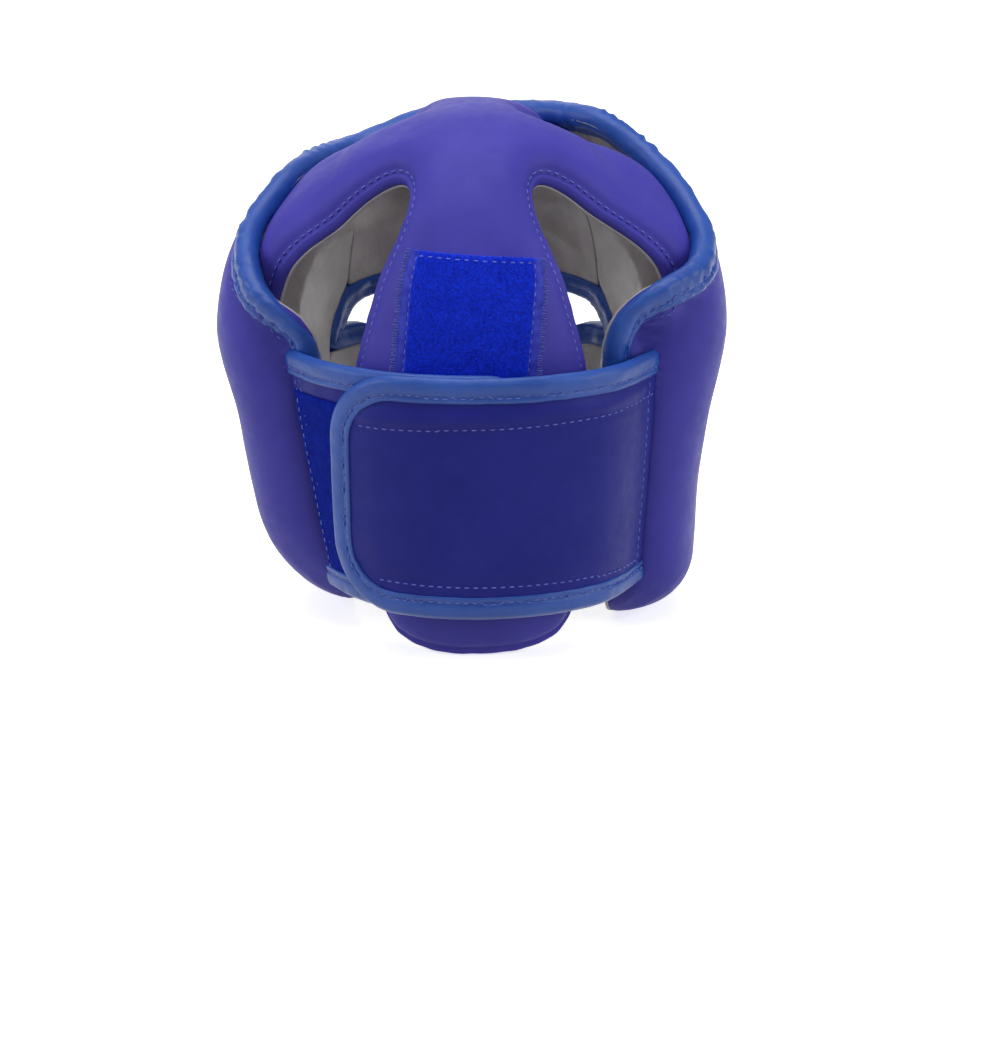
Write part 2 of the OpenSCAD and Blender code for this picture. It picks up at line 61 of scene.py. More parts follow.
EDGE_LIFT = 0.6              # the binding's middle over the middle of the pad that it binds
SEAM_ANGLE, CHEEK_SEAM = 48.0, 63.0
BROW_Z, TEMPLE_Z, CHEEK_TOP, CHEEK_BOTTOM = 149.0, 144.0, 114.0, 8.0
# the shell's upper edge on each side, out to the end of its rear tab: angle, arc length and how far
# the middle of the bound edge stands off the head
UPPER_LEFT = np.array([
    [0, 72, 21], [12, 73, 21.5], [24, 79, 21.5], [37, 88, 22], [45, 92, 22.5], [57, 92.5, 23], [68, 95, 24],
    [78, 99, 25.5], [85, 108, 27], [90, 116, 29], [96, 121.5, 31], [102, 126, 32], [109, 132.5, 32],
    [114.5, 138.5, 31], [118.5, 143, 28], [122, 145.3, 23], [124, 150, 16], [124.9, 158, 10],
    [125.5, 166, 8], [125.6, 173, 8]])
UPPER_RIGHT = np.array([
    [0, 72, 21], [20, 72, 23], [36, 72, 24.5], [50, 71, 25.5], [58, 75.5, 27], [64, 84, 28], [70, 91, 29],
    [77, 98, 29.5], [85, 106, 31], [92, 116, 33], [99, 125, 35], [108.5, 131.5, 35], [115, 133.5, 33],
    [122.5, 134.3, 29], [126.8, 135.5, 24], [129.5, 139, 18], [131.5, 144.5, 12], [133.5, 152, 8],
    [134.3, 161.5, 6], [134.5, 172, 6]])
SHELL_SCALE = 1.7            # chart millimetres for one degree round the shell
EAR = (87.0, EQUATOR_ARC + 34)
EAR_RADIUS = 16.0
STRAP_LOW, STRAP_HIGH, STRAP_CORNER, UNDER_CORNER = 24.0, 142.0, 34.0, 20.4
OVER_ROOT, OVER_SWEEP, UNDER_ROOT, UNDER_SWEEP = 121.0, 97.0, 121.0, 75.0
OVER_LEVEL, UNDER_LEVEL, STRAP_THICK = 20.1, 14.4, 4.3
STRAP_SCALE = 1.75
END_LEAN = 9.0
CHIN_LOW, CHIN_WIDTH = 16.0, 28.0


def clamp(t, low=0.0, high=1.0):
    return np.clip(t, low, high)


def smooth(t):
    t = clamp(t)
    return t * t * (3 - 2 * t)


def mix(a, b, t):
    return a + (b - a) * t


def rounded(t):
    """A quarter circle from 0 to 1."""
    return np.sqrt(1 - (1 - clamp(t)) ** 2)


def bump(t, width):
    return np.exp(-((t / width) ** 2))


def unit(v):
    return v / np.maximum(np.linalg.norm(v, axis=-1, keepdims=True), 1e-9)


def lengths(line):
    """How far along a line each of its points lies."""
    return np.concatenate([[0], np.cumsum(np.linalg.norm(np.diff(line, axis=0), axis=1))])


# ---- the head form ----


def drop(z):
    return (np.maximum(0, EQUATOR - z) / EQUATOR) ** TAPER_POWER


def height_at(s):
    s = np.asarray(s, float)
    dome = EQUATOR + DOME * np.cos(np.radians(s / ARC))
    return np.where(s < EQUATOR_ARC, dome, EQUATOR - (s - EQUATOR_ARC))


def spread_at(s):
    s = np.asarray(s, float)
    return np.where(s < EQUATOR_ARC, np.sin(np.radians(s / ARC)), 1.0)


def arc_at(z):
    z = np.asarray(z, float)
    dome = ARC * np.degrees(np.arccos(clamp((z - EQUATOR) / DOME, -1, 1)))
    return np.where(z > EQUATOR, dome, EQUATOR_ARC + EQUATOR - z)


def on_head(a, s, d):
    """Points and outward directions at angles a, arc lengths s and offsets d."""
    a, s, d = np.broadcast_arrays(*(np.asarray(v, float) for v in (a, s, d)))
    sine, cosine = np.sin(np.radians(a)), np.cos(np.radians(a))
    z, spread = height_at(s), spread_at(s)
    fall = drop(z)
    w = HALF_WIDTH - np.where(sine > 0, LEFT_TAPER, RIGHT_TAPER) * fall
    l = np.where(cosine > 0, FRONT - FRONT_TAPER * fall, BACK - NAPE_TAPER * fall)
    x, y = w * sine * spread, -l * cosine * spread
    out = np.stack([x / w**2, y / l**2, np.maximum(0, z - EQUATOR) / DOME**2], -1)
    out = unit(out)
    points = np.stack([x, y + BODY_SHIFT, z], -1) + d[..., None] * out
    return points, out


def edge_value(a, column):
    """A column of the upper edge's table at these angles."""
    left = np.interp(a, UPPER_LEFT[:, 0], UPPER_LEFT[:, column])
    right = np.interp(-np.asarray(a), UPPER_RIGHT[:, 0], UPPER_RIGHT[:, column])
    return np.where(np.asarray(a) >= 0, left, right)


def upper_arc(a):
    return edge_value(a, 1)


def upper_line(angles):
    """Chart points of the shell's upper edge at these angles."""
    return np.array([[a * SHELL_SCALE, float(upper_arc(a))] for a in angles])


def standoff(a):
    """The shell's inner face at its upper edge."""
    return edge_value(a, 2) - BOUND / 2 - EDGE_LIFT


def leaned(a, s):
    return a + 4 * clamp((np.abs(a) - 95) / 24) * drop(height_at(s))


# ---- charts: flat millimetres to places on the form ----


def shell_chart(p):
    a, s = p[:, 0] / SHELL_SCALE, p[:, 1]
    return leaned(a, s), s


def crown_chart(p):
    """Round the pole over the crown, straight across down the tongue and the nape."""
    x, y = p[:, 0], p[:, 1]
    down = smooth((y - 60) / 70)
    polar = 180 - np.degrees(np.abs(np.arctan2(x, -y)))
    arc = np.maximum(y, 1)
    across = np.degrees(np.abs(x) / (HALF_WIDTH * np.maximum(spread_at(arc), 0.05)))
    angle = mix(polar, across, down)
    return np.where(x >= 0, 180 - angle, angle - 180), mix(np.hypot(x, y), y, down)


def over_chart(p):
    t = p[:, 0] / STRAP_SCALE / OVER_SWEEP
    s = arc_at(p[:, 1])
    fall = drop(height_at(s))
    a = -(OVER_ROOT + OVER_SWEEP * t + END_LEAN * t * t * fall)
    return a + 4 * (1 - smooth(t * 2)) * fall, s


def under_chart(p):
    t = p[:, 0] / STRAP_SCALE / UNDER_SWEEP
    s = arc_at(p[:, 1])
    a = UNDER_ROOT + UNDER_SWEEP * t
    return a + 4 * (1 - smooth(t * 2)) * drop(height_at(s)), s


def over_sink(u):
    return 6.3 * (1 - smooth(u / STRAP_SCALE / 26))


def under_sink(u):
    return 1.4 * (1 - smooth(u / STRAP_SCALE / 20))


# ---- flat lines and fields ----


def softened(points, rounds):
    """Cuts the corners of a closed outline."""
    points = np.asarray(points, float)
    for _ in range(rounds):
        after = np.roll(points, -1, 0)
        points = np.stack([mix(points, after, 0.25), mix(points, after, 0.75)], 1).reshape(-1, 2)
    return points


def spaced(line, step, closed=True):
    line = np.asarray(line, float)
    if closed:
        line = np.vstack([line, line[:1]])
    along = lengths(line)
    count = max(6, int(round(along[-1] / step)))
    at = np.linspace(0, along[-1], count + 1)[: -1 if closed else None]
    return np.stack([np.interp(at, along, line[:, k]) for k in range(line.shape[1])], 1)


def through(places, step=3):
    """Even points on the straight lines through a few places."""
    return spaced(np.array(places, float), step, closed=False)


def line_gap(points, line, closed=False):
    """Each point's distance to a line, and how far along the line its nearest place is."""
    a = np.asarray(line, float)
    b = np.roll(a, -1, 0) if closed else a[1:]
    a = a if closed else a[:-1]
    ab = b - a
    length = np.maximum(np.hypot(ab[:, 0], ab[:, 1]), 1e-9)
    start = np.concatenate([[0], np.cumsum(length)[:-1]])
    rel = points[:, None] - a[None]
    t = clamp((rel * ab).sum(2) / length**2)
    gap = np.linalg.norm(rel - t[..., None] * ab, axis=2)
    k, row = gap.argmin(1), np.arange(len(points))
    return gap[row, k], start[k] + t[row, k] * length[k]


def inside(points, loop):
    a, b = loop, np.roll(loop, -1, 0)
    x, y = points[:, 0, None], points[:, 1, None]
    crosses = (a[:, 1] > y) != (b[:, 1] > y)
    at = a[:, 0] + (y - a[:, 1]) * (b[:, 0] - a[:, 0]) / (b[:, 1] - a[:, 1] + 1e-12)
    return (crosses & (x < at)).sum(1) % 2 == 1


def inward(loop):
    """The direction to the left of each point of a loop."""
    ahead = np.roll(loop, -1, 0) - np.roll(loop, 1, 0)
    ahead = unit(ahead)
    return np.stack([-ahead[:, 1], ahead[:, 0]], 1)


def area(loop):
    x, y = loop.T
    return 0.5 * float((x * np.roll(y, -1) - y * np.roll(x, -1)).sum())


def lattice(points, seed):
    """Smooth random values from -1 to 1 over flat points, one hill for each unit."""
    cell = np.floor(points)
    part = points - cell
    part = part * part * (3 - 2 * part)

    def corner(i, j):
        value = np.sin((cell[:, 0] + i) * 127.1 + (cell[:, 1] + j) * 311.7 + seed * 74.7) * 43758.5453
        return (value - np.floor(value)) * 2 - 1

    low = mix(corner(0, 0), corner(1, 0), part[:, 0])
    high = mix(corner(0, 1), corner(1, 1), part[:, 0])
    return mix(low, high, part[:, 1])


def hills(points, size, seed, rounds=3):
    total, share = np.zeros(len(points)), 1.0
    for k in range(rounds):
        total += share * lattice(np.asarray(points, float) / size * 2**k, seed + 13 * k)
        share *= 0.5
    return total


# ---- meshes ----


def add_object(name, points, faces, material, smooth_faces=True):
    """A mesh object from points in millimetres."""
    mesh = bpy.data.meshes.new(name)
    mesh.from_pydata((np.asarray(points, float) * MM).tolist(), [], [list(map(int, f)) for f in faces])
    mesh.validate()
    mesh.update()
    if smooth_faces:
        mesh.polygons.foreach_set("use_smooth", np.ones(len(mesh.polygons), bool))
    o = bpy.data.objects.new(name, mesh)
    bpy.context.scene.collection.objects.link(o)
    mesh.materials.append(material)
    return o


RINGS = (1.1, 2.4, 3.9, 5.6, 7.6, 9.9)


EDGE_STEP = 2.6              # between the points of a flat mesh's outlines


def flat_mesh(loops, step, rings=RINGS):
    """Triangles over the area in loops[0] and outside the other loops, with rows that follow the edges."""
    loops = [spaced(loop, EDGE_STEP) for loop in loops]
    loops = [loop if (area(loop) > 0) == (k == 0) else loop[::-1] for k, loop in enumerate(loops)]
    border = np.vstack(loops)
    edges, at = [], 0
    for loop in loops:
        edges += [(at + i, at + (i + 1) % len(loop)) for i in range(len(loop))]
        at += len(loop)
    points = [border]

    def gap_of(p):
        return np.min([line_gap(p, loop, True)[0] for loop in loops], axis=0)

    def within(p):
        good = inside(p, loops[0])
        for hole in loops[1:]:
            good &= ~inside(p, hole)
        return good

    for r in rings:
        for loop in loops:
            p = loop + inward(loop) * r
            p = p[within(p)]
            p = p[gap_of(p) > 0.93 * r]
            if len(p):
                points.append(p)
    low, high = loops[0].min(0), loops[0].max(0)
    rows = np.arange(low[1], high[1] + step, step * 0.866)
    grid = np.array([[x + (k % 2) * step / 2, y] for k, y in enumerate(rows)
                     for x in np.arange(low[0], high[0] + step, step)])
    grid = grid[within(grid)]
    grid = grid[gap_of(grid) > (rings[-1] if len(rings) else 0) + 0.55 * step]
    points = np.vstack([*points, grid])
    made = delaunay_2d_cdt([Vector(p) for p in points.tolist()], edges, [], 1, 1e-5, False)
    flat = np.array([tuple(v) for v in made[0]])
    faces = np.array([f for f in made[2] if len(f) == 3])
    centres = flat[faces].mean(1)
    faces = faces[within(centres)]
    used = np.unique(faces)
    renumber = np.full(len(flat), -1)
    renumber[used] = np.arange(len(used))
    flat, faces = flat[used], renumber[faces]
    a, b, c = (flat[faces[:, k]] for k in range(3))
    turn = (b[:, 0] - a[:, 0]) * (c[:, 1] - a[:, 1]) - (b[:, 1] - a[:, 1]) * (c[:, 0] - a[:, 0])
    faces[turn < 0] = faces[turn < 0][:, ::-1]
    return flat, faces[np.abs(turn) > 1e-6], loops


def volume(points, faces):
    total = 0.0
    for f in faces:
        for k in range(1, len(f) - 1):
            total += np.dot(points[f[0]], np.cross(points[f[k]], points[f[k + 1]]))
    return total / 6


def closed_solid(name, faces, top, bottom, material):
    """A solid between two copies of one flat triangle mesh."""
    n = len(top)
    seen = {}
    for f in faces.tolist():
        for i in range(3):
            seen[(f[i], f[(i + 1) % 3])] = True
    rim = [(i, j) for i, j in seen if (j, i) not in seen]
    all_faces = [tuple(f) for f in faces.tolist()]
    all_faces += [(f[2] + n, f[1] + n, f[0] + n) for f in faces.tolist()]
    all_faces += [(j, i, i + n, j + n) for i, j in rim]
    points = np.vstack([top, bottom])
    if volume(points, all_faces) < 0:
        all_faces = [f[::-1] for f in all_faces]
    return add_object(name, points, all_faces, material)


def grid_faces(rows, columns, closed_rows=False, closed_columns=False):
    faces = []
    for i in range(rows if closed_rows else rows - 1):
        for j in range(columns if closed_columns else columns - 1):
            k, l = (i + 1) % rows, (j + 1) % columns
            faces.append((i * columns + j, k * columns + j, k * columns + l, i * columns + l))
    return faces


def grid_points(xs, ys):
    gx, gy = np.meshgrid(xs, ys, indexing="ij")
    return np.stack([gx.ravel(), gy.ravel()], 1)


def grid_triangles(rows, columns):
    quads = np.array(grid_faces(rows, columns))
    return np.vstack([quads[:, [0, 1, 2]], quads[:, [0, 2, 3]]])


def swept(name, path, chart, level, profile, material, pucker, seed, closed=False, side=1.0, folds=()):
    """A strip bound over an edge. path runs along the edge in the chart, profile is a closed
    outline of (distance in from the edge, height above the edge's middle level)."""
    n = len(path)
    ahead = (np.roll(path, -1, 0) - np.roll(path, 1, 0)) if closed else np.gradient(path, axis=0)
    ahead = unit(ahead)
    into = side * np.stack([-ahead[:, 1], ahead[:, 0]], 1)
    along = lengths(path)
    gather = np.zeros(n)
    for k, place in enumerate(folds):
        depth = 0.9 + 0.5 * ((k * 7) % 5) / 4
        gather += depth * (0.7 * bump(along - place - 2.2, 1.5) - bump(along - place, 1.1))
    rings = []
    for k, (b, h) in enumerate(profile):
        ripple = pucker * hills(np.stack([along / 5.5, np.full(n, k * 0.35)], 1), 1.0, seed)
        swell = mix(0.25, 1.0, bump(b - 3.5, 5.0))
        outer = 1.0 if h > 0 else -1.0
        p = path + into * (b + 0.35 * ripple)[:, None]
        a, s = chart(p)
        fold = gather * mix(0.4, 1.0, bump(b - 2.0, 5.0)) if h > 0 else 0.0
        rings.append(on_head(a, s, level + h + outer * ripple * swell + fold)[0])
    points = np.stack(rings, 1).reshape(-1, 3)
    k = len(profile)
    faces = grid_faces(n, k, closed_rows=closed, closed_columns=True)
    if not closed:
        faces += [tuple(range(k)), tuple((n - 1) * k + i for i in reversed(range(k)))]
    if volume(points, faces) < 0:
        faces = [f[::-1] for f in faces]
    return add_object(name, points, faces, material)


UPPER_WIDTH, STRAP_WIDTH, FACE_WIDTH = 9.8, 9.4, 9.8
STITCH_IN = 3.1              # a binding's row of stitches lies this far inside the edge of its flange


def binding_profile(half, width, swell=1.7):
    """A folded strip over an edge 2 * half thick: a full roll, a stitched groove and a flat flange."""
    back = -half - 1.5
    roll = width - 4.8
    outer = [(width, half + 0.15), (width - 0.2, half + 0.75), (width - 1.4, half + 0.85),
             (width - 2.6, half + 0.5), (width - STITCH_IN, half + 0.1), (width - 3.6, half + 0.5),
             (roll, half + 1.15), (roll * 0.6, half + swell), (roll * 0.2, half + swell * 0.95),
             (-0.3, half + 0.8), (-1.4, half * 0.72), (-2.1, half * 0.3)]
    under = [(-2.1, -half * 0.3), (-1.3, -half * 0.75), (0.2, back + 0.1), (2.2, back - 0.6),
             (width * 0.5, back - 0.5), (width - 3.6, back + 0.5), (width - 1.5, back),
             (width, back + 0.5)]
    return outer + under


def surface_of(o):
    return BVHTree.FromObject(o, bpy.context.evaluated_depsgraph_get())


STITCH_LENGTH, STITCH_PITCH, STITCH_RADIUS = 3.3, 4.2, 0.36


def stitch_row(name, target, line, material, lift=0.12):
    """Stitches along a line of points, laid on the nearest surface of the target."""
    tree = surface_of(target)
    along = lengths(line)
    count = max(1, int(along[-1] / STITCH_PITCH))
    step = along[-1] / count
    points, faces = [], []
    sides, rows = 6, 5
    for i in range(count):
        at = (i + 0.5) * step + np.linspace(-STITCH_LENGTH / 2, STITCH_LENGTH / 2, rows)
        spots = np.stack([np.interp(at, along, line[:, k]) for k in range(3)], 1)
        laid, ups = [], []
        for spot in spots:
            place, normal, _, _ = tree.find_nearest(Vector((spot * MM).tolist()))
            if place is None:
                break
            laid.append(np.array(place) / MM)
            ups.append(np.array(normal))
        if len(laid) < rows:
            continue
        laid, up = np.array(laid), unit(np.mean(ups, axis=0))
        tangent = laid[-1] - laid[0]
        if np.linalg.norm(tangent) < STITCH_LENGTH * 0.3:
            continue
        across = unit(np.cross(unit(tangent), up))
        base = len(points)
        for r in range(rows):
            share = r / (rows - 1)
            rise = lift - 0.75 * abs(2 * share - 1) ** 3
            thick = STITCH_RADIUS * (0.62 + 0.38 * (1 - abs(2 * share - 1)))
            for k in range(sides):
                f = 2 * np.pi * k / sides
                points.append(laid[r] + up * (rise + thick * np.cos(f)) + across * thick * np.sin(f))
        for r in range(rows - 1):
            for k in range(sides):
                l = (k + 1) % sides
                faces.append((base + r * sides + k, base + r * sides + l,
                              base + (r + 1) * sides + l, base + (r + 1) * sides + k))
        faces.append(tuple(base + k for k in reversed(range(sides))))
        faces.append(tuple(base + (rows - 1) * sides + k for k in range(sides)))
    return add_object(name, points, faces, material)


# ---- materials ----


def material(name, base, roughness, **inputs):
    m = bpy.data.materials.new(name)
    m.use_nodes = True
    shader = m.node_tree.nodes["Principled BSDF"]
    shader.inputs["Base Color"].default_value = (*base, 1)
    shader.inputs["Roughness"].default_value = roughness
    for key, value in inputs.items():
        shader.inputs[key.replace("_", " ")].default_value = value
    return m, m.node_tree, shader


def add_node(tree, kind, **inputs):
    node = tree.nodes.new(kind)
    for key, value in inputs.items():
        node.inputs[key.replace("_", " ")].default_value = value
    return node


def add_noise(tree, scale, detail, rough):
    node = add_node(tree, "ShaderNodeTexNoise", Scale=scale, Detail=detail, Roughness=rough)
    where = tree.nodes.new("ShaderNodeTexCoord")
    tree.links.new(where.outputs["Object"], node.inputs["Vector"])
    return node.outputs["Fac"]


def ramp(tree, value, stops):
    node = tree.nodes.new("ShaderNodeValToRGB")
    while len(node.color_ramp.elements) < len(stops):
        node.color_ramp.elements.new(0.5)
    for element, (place, colour) in zip(node.color_ramp.elements, stops):
        element.position = place
        element.color = (*colour, 1)
    tree.links.new(value, node.inputs["Fac"])
    return node.outputs["Color"]


def to_range(tree, value, low, high, out_low, out_high):
    node = add_node(tree, "ShaderNodeMapRange", From_Min=low, From_Max=high, To_Min=out_low, To_Max=out_high)
    tree.links.new(value, node.inputs["Value"])
    return node.outputs["Result"]


def add_bump(tree, shader, value, strength, distance, after=None):
    node = add_node(tree, "ShaderNodeBump", Strength=strength, Distance=distance)
    tree.links.new(value, node.inputs["Height"])
    if after is not None:
        tree.links.new(after, node.inputs["Normal"])
    tree.links.new(node.outputs["Normal"], shader.inputs["Normal"])
    return node.outputs["Normal"]


def soft_touch(name, dark, light, roughness=0.5, grain=0.25, gloss=0.22):
    """Matte soft-touch synthetic leather: a fine pebble, faint clouds of wear and a soft sheen."""
    m, tree, shader = material(name, light, roughness, Specular_IOR_Level=gloss)
    cloud = add_noise(tree, 28, 5, 0.6)
    tree.links.new(ramp(tree, cloud, [(0.3, dark), (0.72, light)]), shader.inputs["Base Color"])
    rub = add_noise(tree, 160, 6, 0.65)
    tree.links.new(to_range(tree, rub, 0.25, 0.75, roughness - 0.09, roughness + 0.09),
                   shader.inputs["Roughness"])
    creases = add_bump(tree, shader, add_noise(tree, 330, 4, 0.6), grain * 0.6, 0.0006)
    add_bump(tree, shader, add_noise(tree, 2100, 3, 0.7), grain, 0.00025, creases)
    return m


WAVES = 0.314                # a wave texture's scale for one band in each metre


def woven(name, base, accent, pitch, roughness=0.8, sheen=0.1, gloss=0.2):
    """A plain weave with a little colour variation."""
    m, tree, shader = material(name, base, roughness, Sheen_Weight=sheen, Specular_IOR_Level=gloss)
    where = tree.nodes.new("ShaderNodeTexCoord")
    values = []
    for k, direction in enumerate(("X", "Z")):
        wave = add_node(tree, "ShaderNodeTexWave", Scale=WAVES / pitch, Distortion=0.6)
        wave.wave_type, wave.bands_direction = "BANDS", direction
        tree.links.new(where.outputs["Object"], wave.inputs["Vector"])
        values.append(wave.outputs["Fac"])
    both = tree.nodes.new("ShaderNodeMath")
    both.operation = "MULTIPLY"
    tree.links.new(values[0], both.inputs[0])
    tree.links.new(values[1], both.inputs[1])
    cloud = add_noise(tree, 260, 3, 0.6)
    tree.links.new(ramp(tree, cloud, [(0.3, base), (0.75, accent)]), shader.inputs["Base Color"])
    add_bump(tree, shader, both.outputs["Value"], 0.5, 0.0004)
    return m


def pile(name, dark, light):
    m, tree, shader = material(name, light, 0.85, Sheen_Weight=0.35, Sheen_Roughness=0.4,
                               Specular_IOR_Level=0.12)
    shader.inputs["Sheen Tint"].default_value = (0.3, 0.42, 1.0, 1)
    tuft = add_noise(tree, 900, 4, 0.65)
    tree.links.new(ramp(tree, tuft, [(0.34, dark), (0.66, light)]), shader.inputs["Base Color"])
    add_bump(tree, shader, tuft, 0.7, 0.0008)
    return m


def satin(name, dark, light):
    """A smooth woven lining with a silky grain."""
    m, tree, shader = material(name, light, 0.4, Sheen_Weight=0.35, Sheen_Roughness=0.3,
                               Specular_IOR_Level=0.5)
    cloud = add_noise(tree, 55, 5, 0.6)
    tree.links.new(ramp(tree, cloud, [(0.3, dark), (0.7, light)]), shader.inputs["Base Color"])
    crease = add_bump(tree, shader, add_noise(tree, 190, 5, 0.62), 0.35, 0.0012)
    add_bump(tree, shader, add_noise(tree, 3200, 2, 0.5), 0.2, 0.0002, crease)
    return m


COVER = soft_touch("cover_material", (0.050, 0.044, 0.345), (0.064, 0.056, 0.415), gloss=0.15)
# The straps' cover is a darker copy of the cover's soft-touch: painted shade for the straps' upright faces,
# which the top light hardly reaches
SHADED_STRAP_COVER = soft_touch("strap_shaded_material", (0.010, 0.013, 0.205), (0.016, 0.019, 0.25), roughness=0.47, gloss=0.15)
BINDING = soft_touch("binding_material", (0.014, 0.066, 0.34), (0.023, 0.095, 0.44), roughness=0.34,
                     grain=0.35, gloss=0.38)
LINING = satin("lining_material", (0.36, 0.33, 0.33), (0.52, 0.48, 0.48))
BACKING = soft_touch("backing_material", (0.04, 0.032, 0.22), (0.05, 0.04, 0.26), roughness=0.6)
PILE = pile("pile_material", (0.001, 0.010, 0.34), (0.004, 0.036, 0.82))
SELVEDGE = woven("selvedge_material", (0.02, 0.028, 0.42), (0.06, 0.075, 0.6), 0.0007)
HOOKS = woven("hook_material", (0.001, 0.010, 0.24), (0.003, 0.022, 0.40), 0.0008, 0.7, sheen=0.0, gloss=0.06)
THREAD = woven("thread_material", (0.12, 0.16, 0.62), (0.2, 0.26, 0.8), 0.0004, 0.6)
WEBBING = woven("webbing_material", (0.05, 0.04, 0.24), (0.08, 0.06, 0.34), 0.0013, 0.75)


def settle(o, body, slot_name, *nodes, bend=None):
    """Parents a piece to the empty of the body that it rides on, or, where it is given a bend, bakes its
    transform into its mesh; and hides the CAD nodes that it stands for. slot_name is not used.
    """
    if bend:
        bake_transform(o)
    else:
        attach(o, body)
    if nodes:
        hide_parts(*nodes)
    return o


def metres(point):
    return tuple(float(v) * MM for v in point)


# ---- where each soft piece bends ----
def seam_point(a, d):
    return on_head(a, arc_at((STRAP_LOW + STRAP_HIGH) / 2), d)[0]


Strap = namedtuple("Strap", "chart level sink bend")
NAPE_BEND = ("root", "nape_pad", (0, 0.052, 0.22), (0, 0.082, 0.22))
OVER_BEND = ("root", "over_strap", metres(seam_point(-120.0, 15)), metres(seam_point(-128.0, 16)))
UNDER_BEND = ("root", "under_strap", metres(seam_point(120.0, 15)), metres(seam_point(128.0, 15)))
OVER = Strap(over_chart, OVER_LEVEL, over_sink, OVER_BEND)
UNDER = Strap(under_chart, UNDER_LEVEL, under_sink, UNDER_BEND)


def shell_low(flat, a, s):
    """The shell's inner face, which stands off the tucked crown pad and the head at its upper edge."""
    return standoff(a) * (1 - smooth((s - upper_arc(a) - 18) / 24))


def shell_line(places):
    """Chart points of (angle, height) or (angle,) on the upper edge."""
    return np.array([[p[0] * SHELL_SCALE, float(upper_arc(p[0]) if len(p) == 1 else arc_at(p[1]))]
                     for p in places])


def seam_ripple(along, gap, seed, depth, reach=6.0):
    """Small gathers that a row of stitches pulls into the cover beside it."""
    return depth * np.exp(-gap / reach) * lattice(np.stack([along / 6, gap / 14], 1), seed)


def pad(name, loops, chart, top, low, seed, step, wrinkle=0.7, node=None, bend=None):
    """A padded piece as two closed solids that meet inside: the cover round the foam, and the lining.
    node is the first word of the CAD nodes that they stand for, where it isn't the piece's name."""
    node = node or name
    flat, faces, loops = flat_mesh(loops, step)
    a, s = chart(flat)
    inner = low(flat, a, s)
    outer = top(flat, a, s, loops)
    lining_top = inner + 1.5
    cover_piece = closed_solid(name + "_cover", faces, on_head(a, s, np.maximum(outer, lining_top + 0.4))[0],
                               on_head(a, s, lining_top + 0.05)[0], COVER)
    gap = np.min([line_gap(flat, loop, True)[0] for loop in loops], axis=0)
    folds = hills(flat * np.array([1.0, 0.6]), 17, seed + 5, 4)
    creases = 1 - np.abs(hills(flat * np.array([0.8, 1.1]), 23, seed + 9, 3))
    inner_face = inner + smooth((gap - UPPER_WIDTH) / 12) * wrinkle * (0.9 * folds - 1.1 * creases**3)
    lining_piece = closed_solid(name + "_lining", faces, on_head(a, s, lining_top)[0],
                                on_head(a, s, np.minimum(inner_face, lining_top - 0.4))[0], LINING)
    settle(cover_piece, "root", "cover", node + "_cover", node + "_foam", bend=bend)
    settle(lining_piece, "root", "lining", node + "_lining", bend=bend)
    return cover_piece, lining_piece


# ---- crown and nape ----
CROWN_HALF = [(0, -94), (26, -96), (50, -92), (57, -84), (52, -66), (43, -42), (34, -22), (30, -11),
              (34, -4), (45, -8), (70, -20), (96, -31), (114, -36), (126, -20), (134, 2), (146, 26),
              (152, 38), (145, 46), (128, 47), (104, 48.5), (78, 50), (54, 50.5), (42.5, 53), (37.5, 60),
              (36.5, 74), (38, 90), (40, 106), (43.5, 126), (51, 152), (56, 172), (57, 195), (56, 235),
              (57, 262), (57.5, 283), (55, 293), (47, 301), (30, 305.6), (12, 306.4), (0, 306.5)]
CROWN_OUTLINE = softened(CROWN_HALF + [(-x, y) for x, y in CROWN_HALF[-2:0:-1]], 2)
CROWN_FOLD, CROWN_STITCH = 3.2, 4.2
ROW_END = 240.0              # the crown's row of stitches stops above the nape pad's lower end


def crown_thick(flat):
    return mix(CROWN_PAD, NAPE_PAD, smooth((flat[:, 1] - 60) / 60))


def crown_lift(a, s):
    """How far the ends of the crown's arms are pulled out by the shell."""
    near = smooth((s - upper_arc(a) + 50) / 50) * (1 - smooth((np.abs(a) - 120) / 10))
    return np.maximum(standoff(a) - TUCK, 0) * near


def crown_top(flat, a, s, loops):
    gap, along = line_gap(flat, loops[0], True)
    full = crown_thick(flat)
    rise = 3.3 + 3.4 * rounded(gap / CROWN_FOLD)
    rise -= 1.0 * bump(gap - CROWN_STITCH, 1.1)
    rise += (full - 6.7) * rounded((gap - CROWN_STITCH) / 17) ** 1.15
    under_strap = smooth((flat[:, 1] - 120) / 30)
    broad = 0.9 * hills(flat, 42, 3, 2) * smooth(gap / 25) * (1 - 0.8 * under_strap)
    return rise + broad + seam_ripple(along, gap, 4, 0.55) + crown_lift(a, s)


crown_cover, crown_lining = pad("crown_nape", [CROWN_OUTLINE], crown_chart, crown_top,
                                lambda flat, a, s: crown_lift(a, s), seed=1, step=2.8, node="crown",
                                bend=NAPE_BEND)
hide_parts("nape_cover", "nape_foam")
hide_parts("nape_lining")

# ---- brow, side and cheek pads ----


def valley(gap, base, full, width, margin=0.0):
    """Share of the full thickness beside an edge that is base thick."""
    return base / full + (1 - base / full) * rounded((gap - margin) / width)


def edge_floor(base, top_gap):
    """The least height beside the upper edge, so that the pad always fills its binding."""
    return base * (1 - smooth((top_gap - 8) / 16))


def brow_low_arc(a):
    return arc_at(mix(BROW_Z, TEMPLE_Z, (np.abs(a) / SEAM_ANGLE) ** 2))


brow_angles = np.linspace(-47.8, 47.8, 41)
brow_top_line = upper_line(brow_angles)
brow_low_line = np.stack([brow_angles * SHELL_SCALE, brow_low_arc(brow_angles)], 1)
BROW_OUTLINE = np.vstack([brow_top_line, brow_low_line[::-1]])


